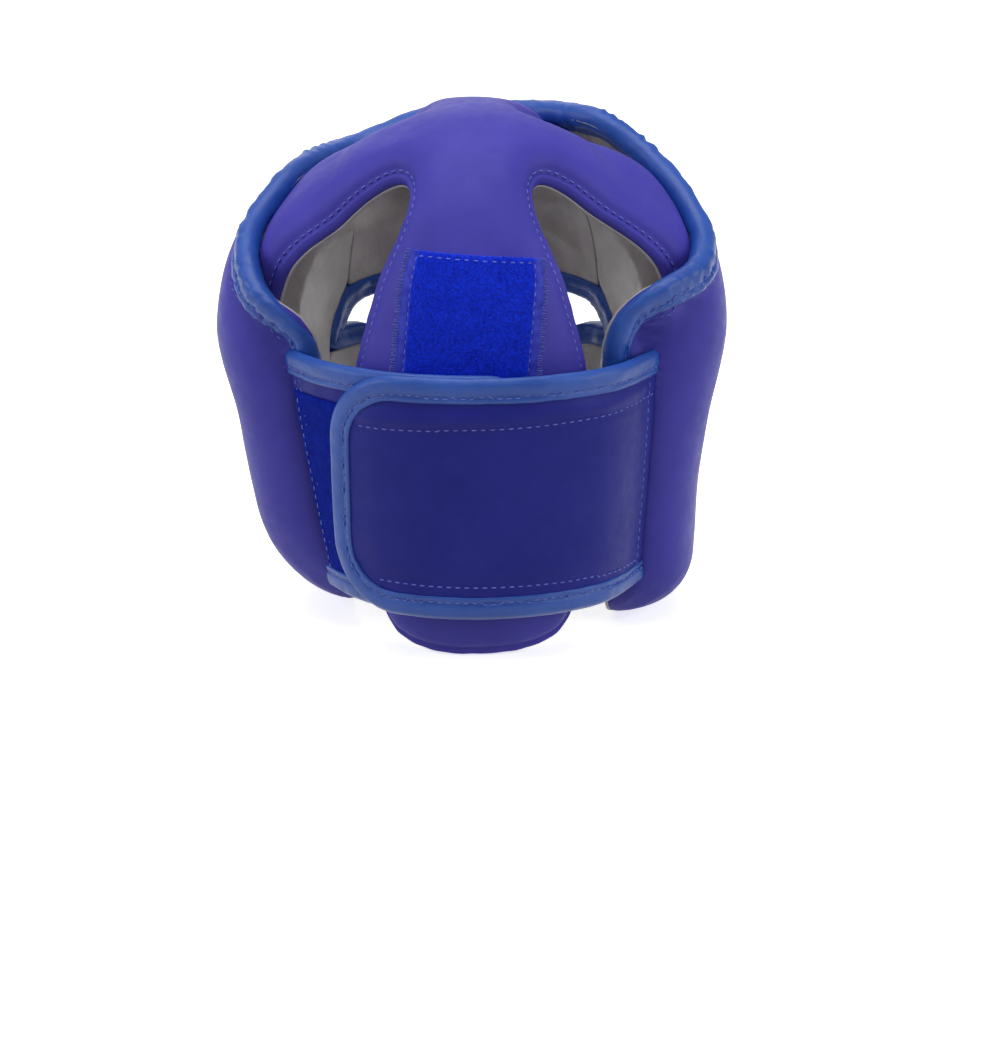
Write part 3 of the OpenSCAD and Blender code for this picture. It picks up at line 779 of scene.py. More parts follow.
def brow_top(flat, a, s, loops):
    top_gap, along = line_gap(flat, brow_top_line)
    low_gap, _ = line_gap(flat, brow_low_line)
    side_gap = SEAM_ANGLE * SHELL_SCALE - np.abs(flat[:, 0])
    base = standoff(a) + BOUND
    share = valley(top_gap, base, BROW_PAD, 20, 9) * valley(low_gap, BOUND + 1, BROW_PAD, 20, 9)
    share *= valley(side_gap, 19, BROW_PAD, 11)
    ripple = seam_ripple(along, np.minimum(side_gap, np.minimum(top_gap, low_gap)), 8, 0.6)
    broad = 0.5 * hills(flat, 38, 6, 2) * smooth(side_gap / 20)
    return np.maximum(BROW_PAD * share + broad, edge_floor(base, top_gap)) + ripple


pad("forehead", [BROW_OUTLINE], shell_chart, brow_top, shell_low, seed=11, step=3.4, wrinkle=1.0)

SIDE_FRONT = [(63.4, 0), (63.4, 40), (63.4, 84), (62.4, 116), (58, 128), (53, 136), (48.2, 146)]
# the side pads' lower edges, which rise toward the rear: angle and height
LOW_LEFT = np.array([[62, 1.5], [72, 0.5], [88, 4.5], [104, 9.5], [113, 12.5], [117, 18], [119, 34]])
LOW_RIGHT = np.array([[62, 1.5], [72, 0], [90, 0.5], [106, 2], [115, 4.5], [119, 9], [121, 24]])


def side_top(sign):
    """The upper edge of one side pad, from the brow seam to the end of its rear tab."""
    table = UPPER_LEFT if sign > 0 else UPPER_RIGHT
    angles = np.concatenate([np.arange(48.2, 118, 4), table[table[:, 0] > 118, 0]])
    return upper_line(sign * angles)


def side_pad(sign, name):
    def flipped(places):
        return shell_line(places) * np.array([sign, 1.0])

    low_edge = LOW_LEFT if sign > 0 else LOW_RIGHT
    upper_swell, lower_slim = (3.0, 0.5) if sign > 0 else (3.8, 2.0)
    rear_end = low_edge[-1, 0]
    end = (UPPER_LEFT if sign > 0 else UPPER_RIGHT)[-1, 0]
    top_line = side_top(sign)
    front_line = flipped(SIDE_FRONT)
    front_line[-1, 1] = float(upper_arc(sign * 48.2))
    front_line = np.vstack([front_line[:-1], [[sign * 48.2 * SHELL_SCALE, float(arc_at(146))]],
                            front_line[-1:]])
    tab_low = np.array([[sign * a * SHELL_SCALE, s] for a, s in
                        ((end - 0.5, 175), (mix(end, rear_end, 0.5), 179), (rear_end, 188))])
    angle = np.linspace(0, 2 * np.pi, 40, endpoint=False)
    hole = np.stack([sign * (EAR[0] * SHELL_SCALE + EAR_RADIUS * np.cos(angle)),
                     EAR[1] + EAR_RADIUS * 1.08 * np.sin(angle)], 1)
    low_line = flipped([(rear_end, 110), (rear_end, 70)] + [(a, z) for a, z in low_edge[::-1]])
    outline = np.vstack([top_line, tab_low, low_line, front_line[:-1]])
    outline = softened(spaced(outline, 5), 2)

    top_along = lengths(top_line)
    top_stand = standoff(top_line[:, 0] / SHELL_SCALE)

    def stand_at(flat):
        """Distance in from the upper edge, and the inner face's standoff at the nearest place of the edge."""
        gap, along = line_gap(flat, top_line)
        return gap, along, np.interp(along, top_along, top_stand)

    def low(flat, a, s):
        gap, _, stand = stand_at(flat)
        return stand * (1 - smooth((gap - 14) / 24))

    def top(flat, a, s, loops):
        around = np.abs(flat[:, 0]) / SHELL_SCALE
        full = mix(BROW_PAD, SIDE_PAD, smooth((around - SEAM_ANGLE) / 26))
        full = full + upper_swell * bump(flat[:, 1] - 162, 38) - lower_slim * bump(flat[:, 1] - 235, 40)
        top_gap, along, stand = stand_at(flat)
        front_gap, front_along = line_gap(flat, front_line)
        hole_gap, _ = line_gap(flat, hole, True)
        rear_gap = (rear_end - around) * SHELL_SCALE
        low_gap, _ = line_gap(flat, low_line[3:])
        base = stand + BOUND
        share = valley(top_gap, base, full, 15, 9)
        rear = mix(BOUND, 12.4, smooth((flat[:, 1] - 160) / 10))
        share *= valley(rear_gap, rear, full, 34) * valley(low_gap, 3, full, 48 if sign > 0 else 27)
        share *= valley(front_gap, 19, full, 11) * valley(hole_gap, 23, full, 9, 2)
        near = np.minimum(top_gap, front_gap)
        ripple = seam_ripple(np.where(top_gap < front_gap, along, front_along), near, 20 + sign, 0.7)
        broad = 1.1 * hills(flat, 60, 30 + sign, 2) * smooth(rear_gap / 30) * smooth(low_gap / 30)
        return np.maximum(full * share + broad, edge_floor(base, top_gap)) + ripple

    return pad(name, [outline, hole], shell_chart, top, low, seed=40 + int(sign), step=3.2)


side_left = side_pad(1.0, "side_left")
side_right = side_pad(-1.0, "side_right")
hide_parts("rear_tab_left")
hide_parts("rear_tab_right")


def cheek_front_at(v):
    return 29 + 11 * (2 * v - 1) ** 4


def cheek_pad(sign, name):
    v = np.linspace(0, 1, 25)
    arcs = mix(float(arc_at(CHEEK_TOP)), float(arc_at(CHEEK_BOTTOM)), v)
    front = np.stack([sign * cheek_front_at(v) * SHELL_SCALE, arcs], 1)
    seam_x = sign * (CHEEK_SEAM - 0.2) * SHELL_SCALE
    outline = np.vstack([front, [[seam_x, arcs[-1]], [seam_x, arcs[0]]]])
    outline = softened(spaced(outline, 6), 2)

    def top(flat, a, s, loops):
        around = np.abs(flat[:, 0]) / SHELL_SCALE
        front_gap, along = line_gap(flat, front)
        ends_gap = np.minimum(flat[:, 1] - arcs[0], arcs[-1] - flat[:, 1])
        seam_gap = (CHEEK_SEAM - around) * SHELL_SCALE
        share = valley(front_gap, BOUND, CHEEK_PAD, 16, 9) * valley(ends_gap, BOUND, CHEEK_PAD, 16, 7)
        share *= valley(seam_gap, 19, CHEEK_PAD, 10)
        return CHEEK_PAD * share + seam_ripple(along, np.minimum(front_gap, seam_gap), 50, 0.4)

    return pad(name, [outline], shell_chart, top, shell_low, seed=60, step=3.2)


cheek_left = cheek_pad(1.0, "cheek_left")
cheek_right = cheek_pad(-1.0, "cheek_right")

# ---- bindings of the shell ----
PATH_STEP = 1.9              # between the rings of a binding


def eased(line, step, rounds):
    """An open line with its corners eased, as closely spaced points."""
    line = spaced(line, step, closed=False)
    for _ in range(rounds):
        line[1:-1] = (line[:-2] + 2 * line[1:-1] + line[2:]) / 4
    return spaced(line, PATH_STEP, closed=False)


def edge_level(path):
    return edge_value(path[:, 0] / SHELL_SCALE, 2)


# where the binding gathers in folds round the shell's corners
FOLD_ANGLES = (-131, -129, -126.5, -124, -121, -117, -113, -108, -73, -69, -60, -57,
               55, 59, 63, 100, 110, 116, 119, 121.5, 123.5)


def upper_folds(path):
    """How far along the path each fold lies."""
    along = lengths(path)
    return np.interp(np.array(FOLD_ANGLES) * SHELL_SCALE, path[:, 0], along)


upper_angles = np.concatenate([-UPPER_RIGHT[:0:-1, 0], UPPER_LEFT[:, 0]])
upper_path = eased(upper_line(upper_angles), 6, 3)
upper_binding = swept("upper_binding", upper_path, shell_chart, edge_level(upper_path),
                      binding_profile(BOUND / 2, UPPER_WIDTH), BINDING, pucker=0.75, seed=70,
                      folds=upper_folds(upper_path))
settle(upper_binding, "root", "binding", "upper_binding")


def row_on(path, into, chart, level, side=1.0):
    """A line beside a path, into the side that it binds."""
    ahead = unit(np.gradient(path, axis=0))
    p = path + side * into * np.stack([-ahead[:, 1], ahead[:, 0]], 1)
    a, s = chart(p)
    return on_head(a, s, level)[0]


upper_stitches = stitch_row("upper_binding_stitches", upper_binding,
                            row_on(upper_path, UPPER_WIDTH - STITCH_IN, shell_chart,
                                   edge_level(upper_path) + 6.5), THREAD)
settle(upper_stitches, "root", "binding")

# ---- straps ----
STRAP_EDGE = 2.4             # the strap's own edge lies this far inside the outside of its binding
STRAP_START = 0.5            # its first place along the chart


def strap_outline(length, corner):
    """A strap's own edge inside its binding, from the top of its seam round to the bottom."""
    low, high = STRAP_LOW + STRAP_EDGE, STRAP_HIGH - STRAP_EDGE
    r = corner - STRAP_EDGE
    end = length - STRAP_EDGE
    turn = np.linspace(0, np.pi / 2, 12)
    upper = [[end - r + r * np.sin(t), high - r + r * np.cos(t)] for t in turn]
    lower = [[end - r + r * np.cos(t), low + r - r * np.sin(t)] for t in turn]
    return np.array([[STRAP_START, high]] + upper + lower + [[STRAP_START, low]])


OVER_LENGTH, UNDER_LENGTH = OVER_SWEEP * STRAP_SCALE, UNDER_SWEEP * STRAP_SCALE
TOP_ROW = np.array([(2, 120.5), (60, 119.0), (OVER_LENGTH - 16, 116.0)])
LOW_ROW = np.array([(8, 38.0), (70, 40.5), (OVER_LENGTH - 26, 41.0)])


def stitched_rows(flat):
    """The grooves of the over strap's two rows, with the full lips between them and the binding."""
    upper, _ = line_gap(flat, TOP_ROW)
    lower, _ = line_gap(flat, LOW_ROW)
    above = flat[:, 1] - np.interp(flat[:, 0], TOP_ROW[:, 0], TOP_ROW[:, 1])
    below = np.interp(flat[:, 0], LOW_ROW[:, 0], LOW_ROW[:, 1]) - flat[:, 1]
    lips = 2.0 * bump(above - 5.5, 4.0) + 0.6 * bump(below - 2.5, 2.5)
    return lips - 0.9 * bump(upper, 1.3) - 0.7 * bump(lower, 1.2)


def plain(flat):
    return np.zeros(len(flat))


def strap_piece(name, kind, outline, thick, puff, seed, rows=plain):
    flat, faces, loops = flat_mesh([outline], 3.0, (1.2, 2.8, 4.8, 7.2))
    a, s = kind.chart(flat)
    gap, along = line_gap(flat, loops[0], True)
    base = kind.level - kind.sink(flat[:, 0])
    swell = puff * smooth((gap - 10) / 14) + 0.35 * hills(flat, 30, seed, 2) * smooth((gap - 8) / 12)
    swell = swell + rows(flat) * smooth((gap - STRAP_WIDTH + 0.8) / 3)
    ripple = seam_ripple(along, np.maximum(gap - 9, 0), seed + 3, 0.25, 5)
    cover = closed_solid(name + "_cover", faces, on_head(a, s, base + thick + swell + ripple)[0],
                         on_head(a, s, base + 2.05)[0], SHADED_STRAP_COVER)
    lining = closed_solid(name + "_lining", faces, on_head(a, s, base + 2.0)[0],
                          on_head(a, s, base + 1.1)[0], BACKING)
    settle(cover, None, "cover", name + "_cover", name + "_core", bend=kind.bend)
    settle(lining, None, "strap_backing", name + "_lining", bend=kind.bend)
    return cover, lining


over_edge = strap_outline(OVER_LENGTH, STRAP_CORNER)
under_edge = strap_outline(UNDER_LENGTH, UNDER_CORNER)
over_cover, over_lining = strap_piece("over_strap", OVER, over_edge, STRAP_THICK, 1.1, 80, stitched_rows)
under_cover, under_lining = strap_piece("under_strap", UNDER, under_edge, STRAP_THICK - 0.4, 0.0, 90)


def strap_binding(name, kind, outline_path, seed):
    path = spaced(outline_path, PATH_STEP, closed=False)
    mid = kind.level - kind.sink(path[:, 0]) + 2.7
    piece = swept(name, path, kind.chart, mid, binding_profile(1.75, STRAP_WIDTH, 1.15), BINDING,
                  pucker=0.35, seed=seed, side=-1.0)
    settle(piece, None, "binding", name, bend=kind.bend)
    row = row_on(path, STRAP_WIDTH - STITCH_IN, kind.chart, mid + 3, side=-1.0)
    thread = stitch_row(name + "_stitches", piece, row, THREAD)
    settle(thread, None, "binding", bend=kind.bend)
    return piece, thread


over_binding = strap_binding("over_strap_binding", OVER, over_edge, 100)
under_binding = strap_binding("under_strap_binding", UNDER, under_edge, 110)


def strap_row(name, target, kind, places):
    """A row of stitches through a strap, along places of (chart millimetres, height)."""
    path = through(places)
    a, s = kind.chart(path)
    line = on_head(a, s, kind.level - kind.sink(path[:, 0]) + STRAP_THICK + 1)[0]
    settle(stitch_row(name, target, line, THREAD), None, "cover", bend=kind.bend)


strap_row("over_strap_root_stitches", over_cover, OVER, [(7, STRAP_HIGH - 1), (7, STRAP_LOW + 1)])
strap_row("over_strap_top_stitches", over_cover, OVER, TOP_ROW)
strap_row("over_strap_low_stitches", over_cover, OVER, LOW_ROW)
strap_row("under_strap_root_stitches", under_cover, UNDER, [(4.5, STRAP_HIGH - 1), (4.5, STRAP_LOW + 1)])
strap_row("under_strap_root_stitches_two", under_cover, UNDER, [(9, STRAP_HIGH - 12), (9, STRAP_LOW + 2)])

# ---- hook and loop tapes ----
RIB_PITCH, RIB_DEPTH, RIB_STEP = 1.7, 0.22, 0.85


def tape(name, box, chart, level, thick, mat, seed):
    """A ribbed tape over the chart box (low x, low y, high x, high y), its ribs along y."""
    x0, y0, x1, y1 = box
    xs = np.linspace(x0, x1, max(3, int((x1 - x0) / RIB_STEP)))
    ys = np.linspace(y0, y1, max(3, int((y1 - y0) / 4)))
    p = grid_points(xs, ys)
    a, s = chart(p)
    rib = RIB_DEPTH * np.cos(2 * np.pi * p[:, 0] / RIB_PITCH) + 0.06 * hills(p, 9, seed, 2)
    top = on_head(a, s, level(p) + thick + rib)[0]
    low = on_head(a, s, level(p))[0]
    faces = grid_triangles(len(xs), len(ys))
    return closed_solid(name, faces, top, low, mat)


def level_on(kind, lift):
    """The level of a tape on a strap, as a function of chart places."""
    return lambda p: kind.level - kind.sink(p[:, 0]) + lift


under_loop = tape("under_strap_loop", (2.5, 31, UNDER_LENGTH - 14, 123), under_chart,
                  level_on(UNDER, STRAP_THICK - 0.6), 0.8, HOOKS, seed=120)
settle(under_loop, None, "loop_tape", "under_strap_loop", bend=UNDER_BEND)
strap_row("under_strap_loop_stitches", under_loop, UNDER, [(5.5, 120), (5.5, 34)])
over_hook = tape("over_strap_hook", (0.42 * OVER_LENGTH, 40, OVER_LENGTH - 12, 126), over_chart,
                 level_on(OVER, 0.3), 0.75, HOOKS, seed=121)
settle(over_hook, "over_strap", "hook_tape", "over_strap_hook")
under_hook = tape("under_strap_hook", (68, 110, 110, 133), under_chart,
                  level_on(UNDER, 0.3), 0.75, HOOKS, seed=122)
settle(under_hook, "under_strap", "hook_tape", "under_strap_hook")

# the fuzzy loop patch on the nape, a little askew
PATCH_MIDDLE, PATCH_SIZE, PATCH_TILT = (0.6, 146.0), (60.0, 72.0), np.radians(-4.5)
SELVEDGE_WIDTH = 4.5


def patch_chart(p):
    """Millimetres on the patch, from its middle, to places on the crown and nape."""
    turn = np.array([[np.cos(PATCH_TILT), np.sin(PATCH_TILT)], [-np.sin(PATCH_TILT), np.cos(PATCH_TILT)]])
    return crown_chart(p @ turn + np.array(PATCH_MIDDLE))


RAY_START, RAY_REACH = 60.0, 0.09


def laid_level(tree, a, s):
    """The offset of the surface under each place, 0 where there is none."""
    far, out = on_head(a, s, RAY_START)
    levels = []
    for p, n in zip(far, out):
        place, _, _, reach = tree.ray_cast(Vector((p * MM).tolist()), Vector((-n).tolist()), RAY_REACH)
        levels.append(0.0 if place is None else RAY_START - reach / MM)
    return np.array(levels)


def patch(name, size, chart, on_piece, thick, mat, seed=0, step=1.3, fuzz=0.35):
    """A soft pile pad laid on a piece."""
    w, h = size[0] / 2, size[1] / 2
    xs = np.linspace(-w, w, int(size[0] / step))
    ys = np.linspace(-h, h, int(size[1] / step))
    p = grid_points(xs, ys)
    a, s = chart(p)
    level = laid_level(surface_of(on_piece), a, s)
    edge = np.minimum(w - np.abs(p[:, 0]), h - np.abs(p[:, 1]))
    soft = thick * (0.35 + 0.65 * rounded(edge / 2.2))
    tuft = fuzz * (hills(p, 2.6, seed, 2) * 0.5 + hills(p, 9, seed + 2, 2) * 0.5) * smooth(edge / 2)
    faces = grid_triangles(len(xs), len(ys))
    piece = closed_solid(name, faces, on_head(a, s, level + soft + tuft)[0],
                         on_head(a, s, level - 0.35)[0], mat)
    return piece, (p, a, s, level + soft + tuft, edge)


FIBRE_RADIUS = 0.16


def fibres(name, field, mat, count, seed, length=1.2):
    """Loose loops of pile that stand up from a patch."""
    p, a, s, level, edge = field
    rng = np.random.default_rng(seed)
    pick = rng.choice(np.where(edge > 0.8)[0], count)
    base, up = on_head(a[pick] + rng.uniform(-0.4, 0.4, count), s[pick] + rng.uniform(-0.7, 0.7, count),
                       level[pick] - 0.4)
    lean = rng.normal(0, 0.75, (count, 3))
    tip = base + length * rng.uniform(0.6, 1.0, (count, 1)) * (up + lean)
    side = unit(np.cross(up, lean))
    other = np.cross(up, side)
    ring = [base + FIBRE_RADIUS * (np.cos(k) * side + np.sin(k) * other) for k in (0, 2.094, 4.189)]
    points = np.stack([*ring, tip], 1).reshape(-1, 3)
    faces = []
    for k in range(count):
        b = 4 * k
        faces += [(b, b + 1, b + 3), (b + 1, b + 2, b + 3), (b + 2, b, b + 3), (b + 2, b + 1, b)]
    return add_object(name, points, faces, mat, smooth_faces=False)


nape_patch, patch_field = patch("nape_loop_patch", (PATCH_SIZE[0] - 2 * SELVEDGE_WIDTH, PATCH_SIZE[1]),
                                patch_chart, crown_cover, 1.7, PILE, seed=130)
settle(nape_patch, None, "loop_tape", "nape_loop_patch", bend=NAPE_BEND)
nape_fibres = fibres("nape_loop_fibres", patch_field, PILE, 7000, seed=131)
settle(nape_fibres, None, "loop_tape", bend=NAPE_BEND)
CROWN_SURFACE = surface_of(crown_cover)


def selvedge(name, x0, x1, seed):
    """The thin woven edge of the patch, with loose threads along its outside."""
    size = (x1 - x0, PATCH_SIZE[1] + 0.8)
    middle = (x0 + x1) / 2

    def chart(p):
        return patch_chart(p + np.array([middle, 0.0]))

    piece, field = patch(name, size, chart, crown_cover, 0.5, SELVEDGE, step=0.9, fuzz=0.12, seed=seed)
    settle(piece, None, "loop_tape", bend=NAPE_BEND)
    rng = np.random.default_rng(seed)
    outer = x0 if abs(x0) > abs(x1) else x1
    count = 95
    y = np.linspace(-size[1] / 2, size[1] / 2, count) + rng.uniform(-0.4, 0.4, count)
    reach = rng.uniform(0.7, 1.9, count) * np.sign(outer)
    inner, lean = outer - 1.2 * np.sign(outer), rng.uniform(-0.8, 0.8, count)
    points, faces = [], []
    for k in range(count):
        row = np.array([[inner, y[k]], [outer + reach[k] * 0.5, y[k] + lean[k] * 0.4],
                        [outer + reach[k], y[k] + lean[k]]])
        a, s = patch_chart(row)
        level = laid_level(CROWN_SURFACE, a, s)
        spots, up = on_head(a, s, level + np.array([0.6, 0.35, 0.2]))
        across = np.cross(spots[-1] - spots[0], up[0])
        across *= 0.14 / np.linalg.norm(across)
        base = len(points)
        for spot, normal in zip(spots, up):
            points += [spot - across, spot + across, spot + normal * 0.24]
        for r in (0, 3):
            for i in range(3):
                j = (i + 1) % 3
                faces.append((base + r + i, base + r + j, base + r + 3 + j, base + r + 3 + i))
        faces += [(base + 2, base + 1, base), (base + 6, base + 7, base + 8)]
    threads = add_object(name + "_threads", points, faces, THREAD)
    settle(threads, None, "loop_tape", bend=NAPE_BEND)
    return piece, threads


HALF_PATCH = PATCH_SIZE[0] / 2
left_selvedge = selvedge("nape_selvedge_left", HALF_PATCH - SELVEDGE_WIDTH - 0.4, HALF_PATCH, 140)
right_selvedge = selvedge("nape_selvedge_right", -HALF_PATCH, -HALF_PATCH + SELVEDGE_WIDTH + 0.4, 141)


def patch_line(places):
    a, s = patch_chart(through(places))
    return on_head(a, s, laid_level(CROWN_SURFACE, a, s) + 2)[0]


for name, places in (("left", [(26.2, -34), (26.2, 36)]), ("right", [(-26.2, -34), (-26.2, 36)]),
                     ("top", [(-25, -33), (25, -33)])):
    row = stitch_row("nape_patch_stitches_" + name, nape_patch, patch_line(places), THREAD, lift=0.0)
    settle(row, None, "loop_tape", bend=NAPE_BEND)

# ---- stitches along the crown, the nape and the shell ----
crown_path = spaced(CROWN_OUTLINE, 2.0)
if area(crown_path) < 0:
    crown_path = crown_path[::-1]
row_path = crown_path + inward(crown_path) * CROWN_STITCH
row_path = np.roll(row_path, -int(np.argmax(row_path[:, 1])), 0)
row_path = row_path[row_path[:, 1] < ROW_END]
angle_row, arc_row = crown_chart(row_path)
crown_row = on_head(angle_row, arc_row, 7.5 + crown_lift(angle_row, arc_row))[0]
crown_thread = stitch_row("crown_stitches", crown_cover, crown_row, THREAD, lift=0.2)
settle(crown_thread, None, "cover", bend=NAPE_BEND)


# the second row beside each rear corner: angle, arc length and level
for name, piece, places in (
        ("side_left_stitches", side_left[0],
         [(104, 142, 40), (110, 148, 38), (114.5, 153, 32), (117.5, 157, 24), (118.5, 162, 17)]),
        ("side_right_stitches", side_right[0],
         [(-109, 144.5, 42), (-113, 146, 40), (-117, 147, 37), (-121, 148.5, 31), (-124, 151.5, 24),
          (-125.5, 156, 18), (-126, 161, 14)])):
    row_angle, row_arc, row_level = through(places, 2).T
    shell_thread = stitch_row(name, piece, on_head(row_angle, row_arc, row_level)[0], THREAD)
    settle(shell_thread, "root", "cover")

# ---- bindings of the face opening, the lower edges and the ear openings ----


def face_edge():
    """Round the face opening in the shell's chart, from the bottom of the left cheek to the right."""
    v = np.linspace(1, 0, 12)
    arcs = mix(float(arc_at(CHEEK_TOP)), float(arc_at(CHEEK_BOTTOM)), v)
    cheek = np.stack([cheek_front_at(v) * SHELL_SCALE, arcs], 1)
    top = np.array([[a * SHELL_SCALE, float(arc_at(CHEEK_TOP))] for a in (46, 52, 58)])
    side = shell_line(SIDE_FRONT[3:6])
    brow = brow_low_line[brow_low_line[:, 0] > -1e-6][::-1]
    half = np.vstack([cheek, top, side, brow])
    whole = np.vstack([half, half[-2::-1] * np.array([-1.0, 1.0])])
    return eased(whole, 5, 4)


face_path = face_edge()[4:-4]
face_binding = swept("face_binding", face_path, shell_chart, np.full(len(face_path), BOUND / 2 + 0.6),
                     binding_profile(BOUND / 2, FACE_WIDTH), BINDING, pucker=0.6, seed=150, side=-1.0)
settle(face_binding, "root", "binding", "face_binding")
face_row = row_on(face_path, FACE_WIDTH - STITCH_IN, shell_chart, np.full(len(face_path), BOUND / 2 + 7.0),
                  side=-1.0)
settle(stitch_row("face_binding_stitches", face_binding, face_row, THREAD), "root", "binding")


def lower_edge(sign, name, low_edge):
    angles = np.linspace(42, low_edge[-3, 0] + 1, 60)
    heights = 2.6 + 5.6 * (1 - smooth((angles - 40) / 22)) + np.interp(angles, low_edge[:, 0], low_edge[:, 1])
    path = np.stack([sign * angles * SHELL_SCALE, arc_at(heights)], 1)
    level = mix(2.6, 3.2, smooth((angles - 60) / 20))
    piece = swept(name, path, shell_chart, level, binding_profile(1.9, 9.5, 1.0), BINDING, pucker=0.4,
                  seed=160, side=sign * -1.0)
    settle(piece, "root", "binding", name)


lower_edge(1.0, "lower_binding_left", LOW_LEFT)
lower_edge(-1.0, "lower_binding_right", LOW_RIGHT)


def ear_ring(sign, name):
    angle = np.linspace(0, 2 * np.pi, 64, endpoint=False)
    path = np.stack([sign * (EAR[0] * SHELL_SCALE + (EAR_RADIUS + 0.8) * np.cos(angle)),
                     EAR[1] + (EAR_RADIUS + 0.8) * 1.08 * np.sin(angle)], 1)
    half = 11.0
    profile = [(6.5, half + 1.2), (6.3, half + 2.0), (4.4, half + 2.3), (2.2, half + 2.2),
               (0.2, half + 1.2), (-1.2, half - 1.5), (-1.8, half - 6), (-1.8, -half + 5),
               (-1.2, -half + 1.0), (0.4, -half - 1.2), (3.5, -half - 1.6), (6.5, -half - 1.2),
               (6.0, 0.0)]
    piece = swept(name, path, shell_chart, np.full(len(path), half + 1.5), profile, BINDING, closed=True,
                  pucker=0.35, seed=170, side=-sign)
    settle(piece, "root", "binding", name)


ear_ring(1.0, "ear_ring_left")
ear_ring(-1.0, "ear_ring_right")

# ---- chin strap ----
CHIN_SCALE, CHIN_ROOT, CHIN_FREE = 1.95, -61.0, 52.0
CHIN_MIDDLE = CHIN_LOW + CHIN_WIDTH / 2


def chin_chart(p):
    return p[:, 0] / CHIN_SCALE, arc_at(p[:, 1])


def chin_level(p):
    return mix(CHEEK_PAD - 7, CHEEK_PAD + 2.3, smooth(np.abs(p[:, 0] / CHIN_SCALE) / 33))


def chin_web():
    x0, x1 = CHIN_ROOT * CHIN_SCALE + 4.0, CHIN_FREE * CHIN_SCALE
    xs = np.linspace(x0, x1, 240)
    ys = np.linspace(CHIN_LOW, CHIN_LOW + CHIN_WIDTH, 29)
    p = grid_points(xs, ys)
    a, s = chin_chart(p)
    across = np.abs(p[:, 1] - CHIN_MIDDLE) / (CHIN_WIDTH / 2)
    ribs = 0.16 * np.cos(2 * np.pi * p[:, 1] / 3.0) * (across < 0.86) - 0.3 * smooth((across - 0.86) / 0.14)
    level = chin_level(p)
    faces = grid_triangles(len(xs), len(ys))
    return closed_solid("chin_web", faces, on_head(a, s, level + 1.65 + ribs)[0],
                        on_head(a, s, level - ribs * 0.6)[0], WEBBING)


chin_web_piece = chin_web()
settle(chin_web_piece, "chin_strap", "webbing", "chin_web")
hook_box = (37 * CHIN_SCALE, CHIN_LOW + 3, 50.5 * CHIN_SCALE, CHIN_LOW + CHIN_WIDTH - 3)
web_hook = tape("chin_web_hook", hook_box, chin_chart, lambda p: chin_level(p) - 0.95, 0.8, HOOKS, seed=180)
settle(web_hook, "chin_strap", "hook_tape", "chin_web_hook")


def cheek_patch_chart(p):
    return (p[:, 0] / 1.95) + 45.0, arc_at(p[:, 1] + CHIN_MIDDLE + 12)


cheek_loop, cheek_field = patch("chin_loop_patch", (33, 44), cheek_patch_chart, cheek_left[0], 0.7, PILE,
                                seed=190, fuzz=0.2)
settle(cheek_loop, "root", "loop_tape", "chin_loop_patch")
settle(fibres("chin_loop_fibres", cheek_field, PILE, 2500, length=0.5, seed=191), "root", "loop_tape")


def anchor_chart(p):
    return p[:, 0] / 1.95 - 60.6, arc_at(p[:, 1] + CHIN_MIDDLE)


anchor, _ = patch("chin_anchor", (7.5, 34), anchor_chart, cheek_right[0], 2.6, BACKING, fuzz=0.05, step=0.8)
settle(anchor, "root", "webbing", "chin_anchor")


def box_row(x, half):
    a, s = anchor_chart(through([(x, -half), (x, half)]))
    return on_head(a, s, CHEEK_PAD + 4)[0]


settle(stitch_row("chin_anchor_stitches", anchor, box_row(0.0, 15), THREAD), "root", "webbing")

CUP_HALF_ANGLE, CUP_HALF_HEIGHT = 24.0, 22.0


def chin_cup():
    w, h, r = CUP_HALF_ANGLE * CHIN_SCALE - 0.5, CUP_HALF_HEIGHT - 0.5, 13.0
    corner = np.linspace(0, np.pi / 2, 8)
    quarter = np.stack([w - r + r * np.sin(corner), h - r + r * np.cos(corner)], 1)
    outline = np.vstack([quarter, (quarter * [1, -1])[::-1], quarter * [-1, -1], (quarter * [-1, 1])[::-1]])
    outline = outline + np.array([0.0, CHIN_MIDDLE])
    flat, faces, loops = flat_mesh([outline], 2.6, (1.1, 2.4, 3.9, 5.6, 7.6))
    a, s = chin_chart(flat)
    gap, along = line_gap(flat, loops[0], True)
    level = chin_level(flat) - 0.6
    seam = level - 6.0
    outer = mix(seam, level, rounded(gap / 6)) + seam_ripple(along, gap, 200, 0.3, 4)
    inner = mix(seam - 0.6, level - 12.6, rounded(gap / 9))
    outer = np.minimum(outer, level + 0.3)
    cover = closed_solid("chin_cup_cover", faces, on_head(a, s, outer)[0], on_head(a, s, seam)[0], COVER)
    lining = closed_solid("chin_cup_lining", faces, on_head(a, s, seam + 0.05)[0], on_head(a, s, inner)[0],
                          LINING)
    settle(cover, "chin_strap", "cover", "chin_cup_cover", "chin_cup_foam")
    settle(lining, "chin_strap", "lining", "chin_cup_lining")


chin_cup()
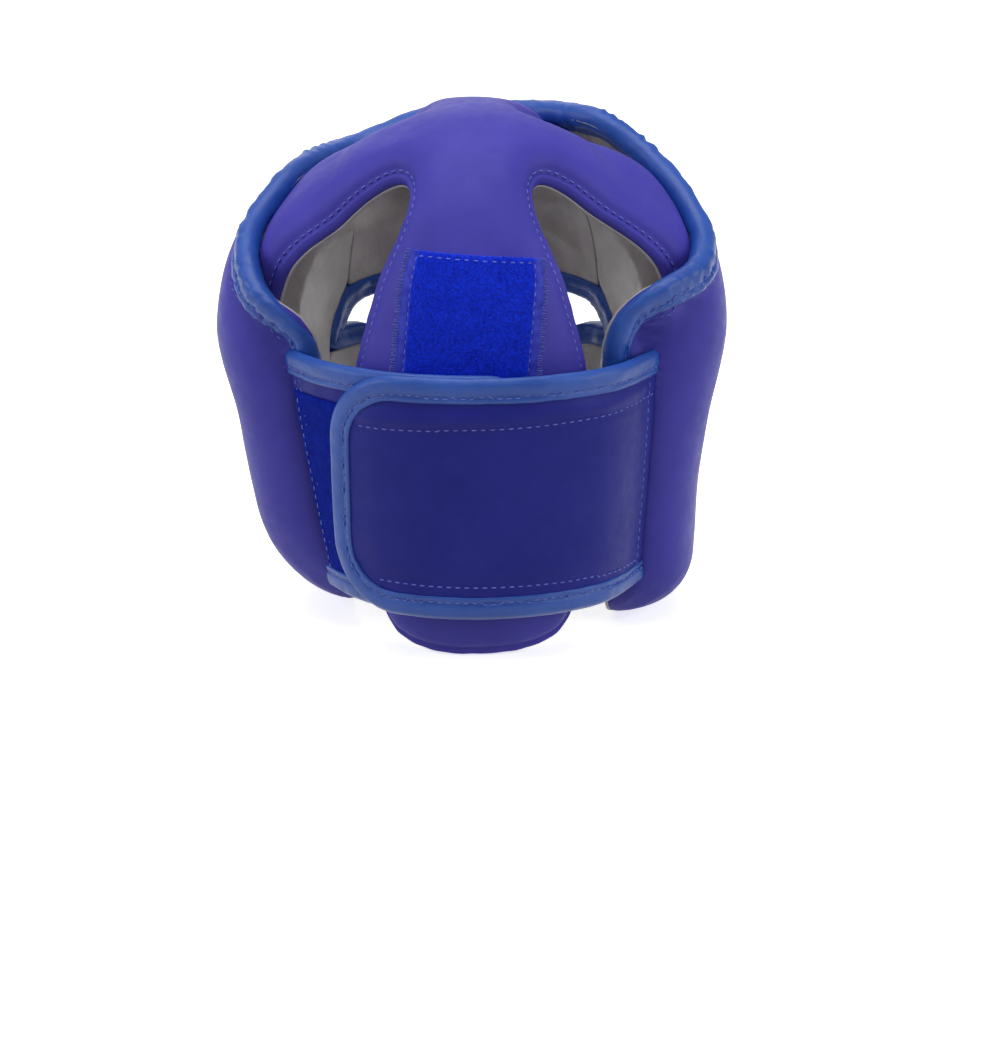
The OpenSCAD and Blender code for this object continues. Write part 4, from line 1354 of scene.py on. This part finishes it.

# ---- camera, floor and light ----
CAMERA_DISTANCE, VIEW_WIDTH, SENSOR = 1.8, 0.48, 36.0
LIGHTS_FACE = Vector((0, 0, 0.12))
FLOOR = 40                   # metres from the middle of the floor to its edges
target = Vector((-0.0134, 0.0438, 0.054))
rise = np.radians(17.0)
camera_data = bpy.data.cameras.new("camera")
camera_data.sensor_fit = "HORIZONTAL"
camera_data.sensor_width = SENSOR
camera_data.lens = SENSOR * CAMERA_DISTANCE / VIEW_WIDTH
camera = bpy.data.objects.new("camera", camera_data)
bpy.context.scene.collection.objects.link(camera)
camera.location = target + Vector((0, np.cos(rise), np.sin(rise))) * CAMERA_DISTANCE
camera.rotation_euler = (target - camera.location).to_track_quat("-Z", "Y").to_euler()
bpy.context.scene.camera = camera


def area_light(name, place, size, power):
    data = bpy.data.lights.new(name, "AREA")
    data.shape, data.size, data.energy = "SQUARE", size, power
    lamp = bpy.data.objects.new(name, data)
    lamp.location = place
    lamp.rotation_euler = (LIGHTS_FACE - lamp.location).to_track_quat("-Z", "Y").to_euler()
    bpy.context.scene.collection.objects.link(lamp)


area_light("top_light", (0.1, 0.1, 1.6), 1.3, 15)
area_light("right_light", (-1.5, 0.6, 0.7), 0.9, 9)
area_light("left_light", (1.5, 0.5, 0.8), 0.9, 8)
area_light("front_light", (0.3, -1.6, 0.9), 1.2, 5)
area_light("camera_light", (0.3, 2.2, 1.0), 1.2, 1.2)

floor_mesh = bpy.data.meshes.new("floor")
floor_mesh.from_pydata([(-FLOOR, -FLOOR, 0), (FLOOR, -FLOOR, 0), (FLOOR, FLOOR, 0), (-FLOOR, FLOOR, 0)],
                       [], [(0, 1, 2, 3)])
floor = bpy.data.objects.new("floor", floor_mesh)
bpy.context.scene.collection.objects.link(floor)
floor_material, _, floor_shader = material("floor_material", (0.93, 0.93, 0.93), 0.9)
floor_shader.inputs["Emission Color"].default_value = (1, 1, 1, 1)
floor_shader.inputs["Emission Strength"].default_value = 0.68
floor_mesh.materials.append(floor_material)
floor.visible_diffuse = False

world = bpy.data.worlds.new("world")
bpy.context.scene.world = world
world.use_nodes = True
world.node_tree.nodes["Background"].inputs["Color"].default_value = (1, 1, 1, 1)
world.node_tree.nodes["Background"].inputs["Strength"].default_value = 0.37
bpy.context.scene.view_settings.view_transform = "Standard"
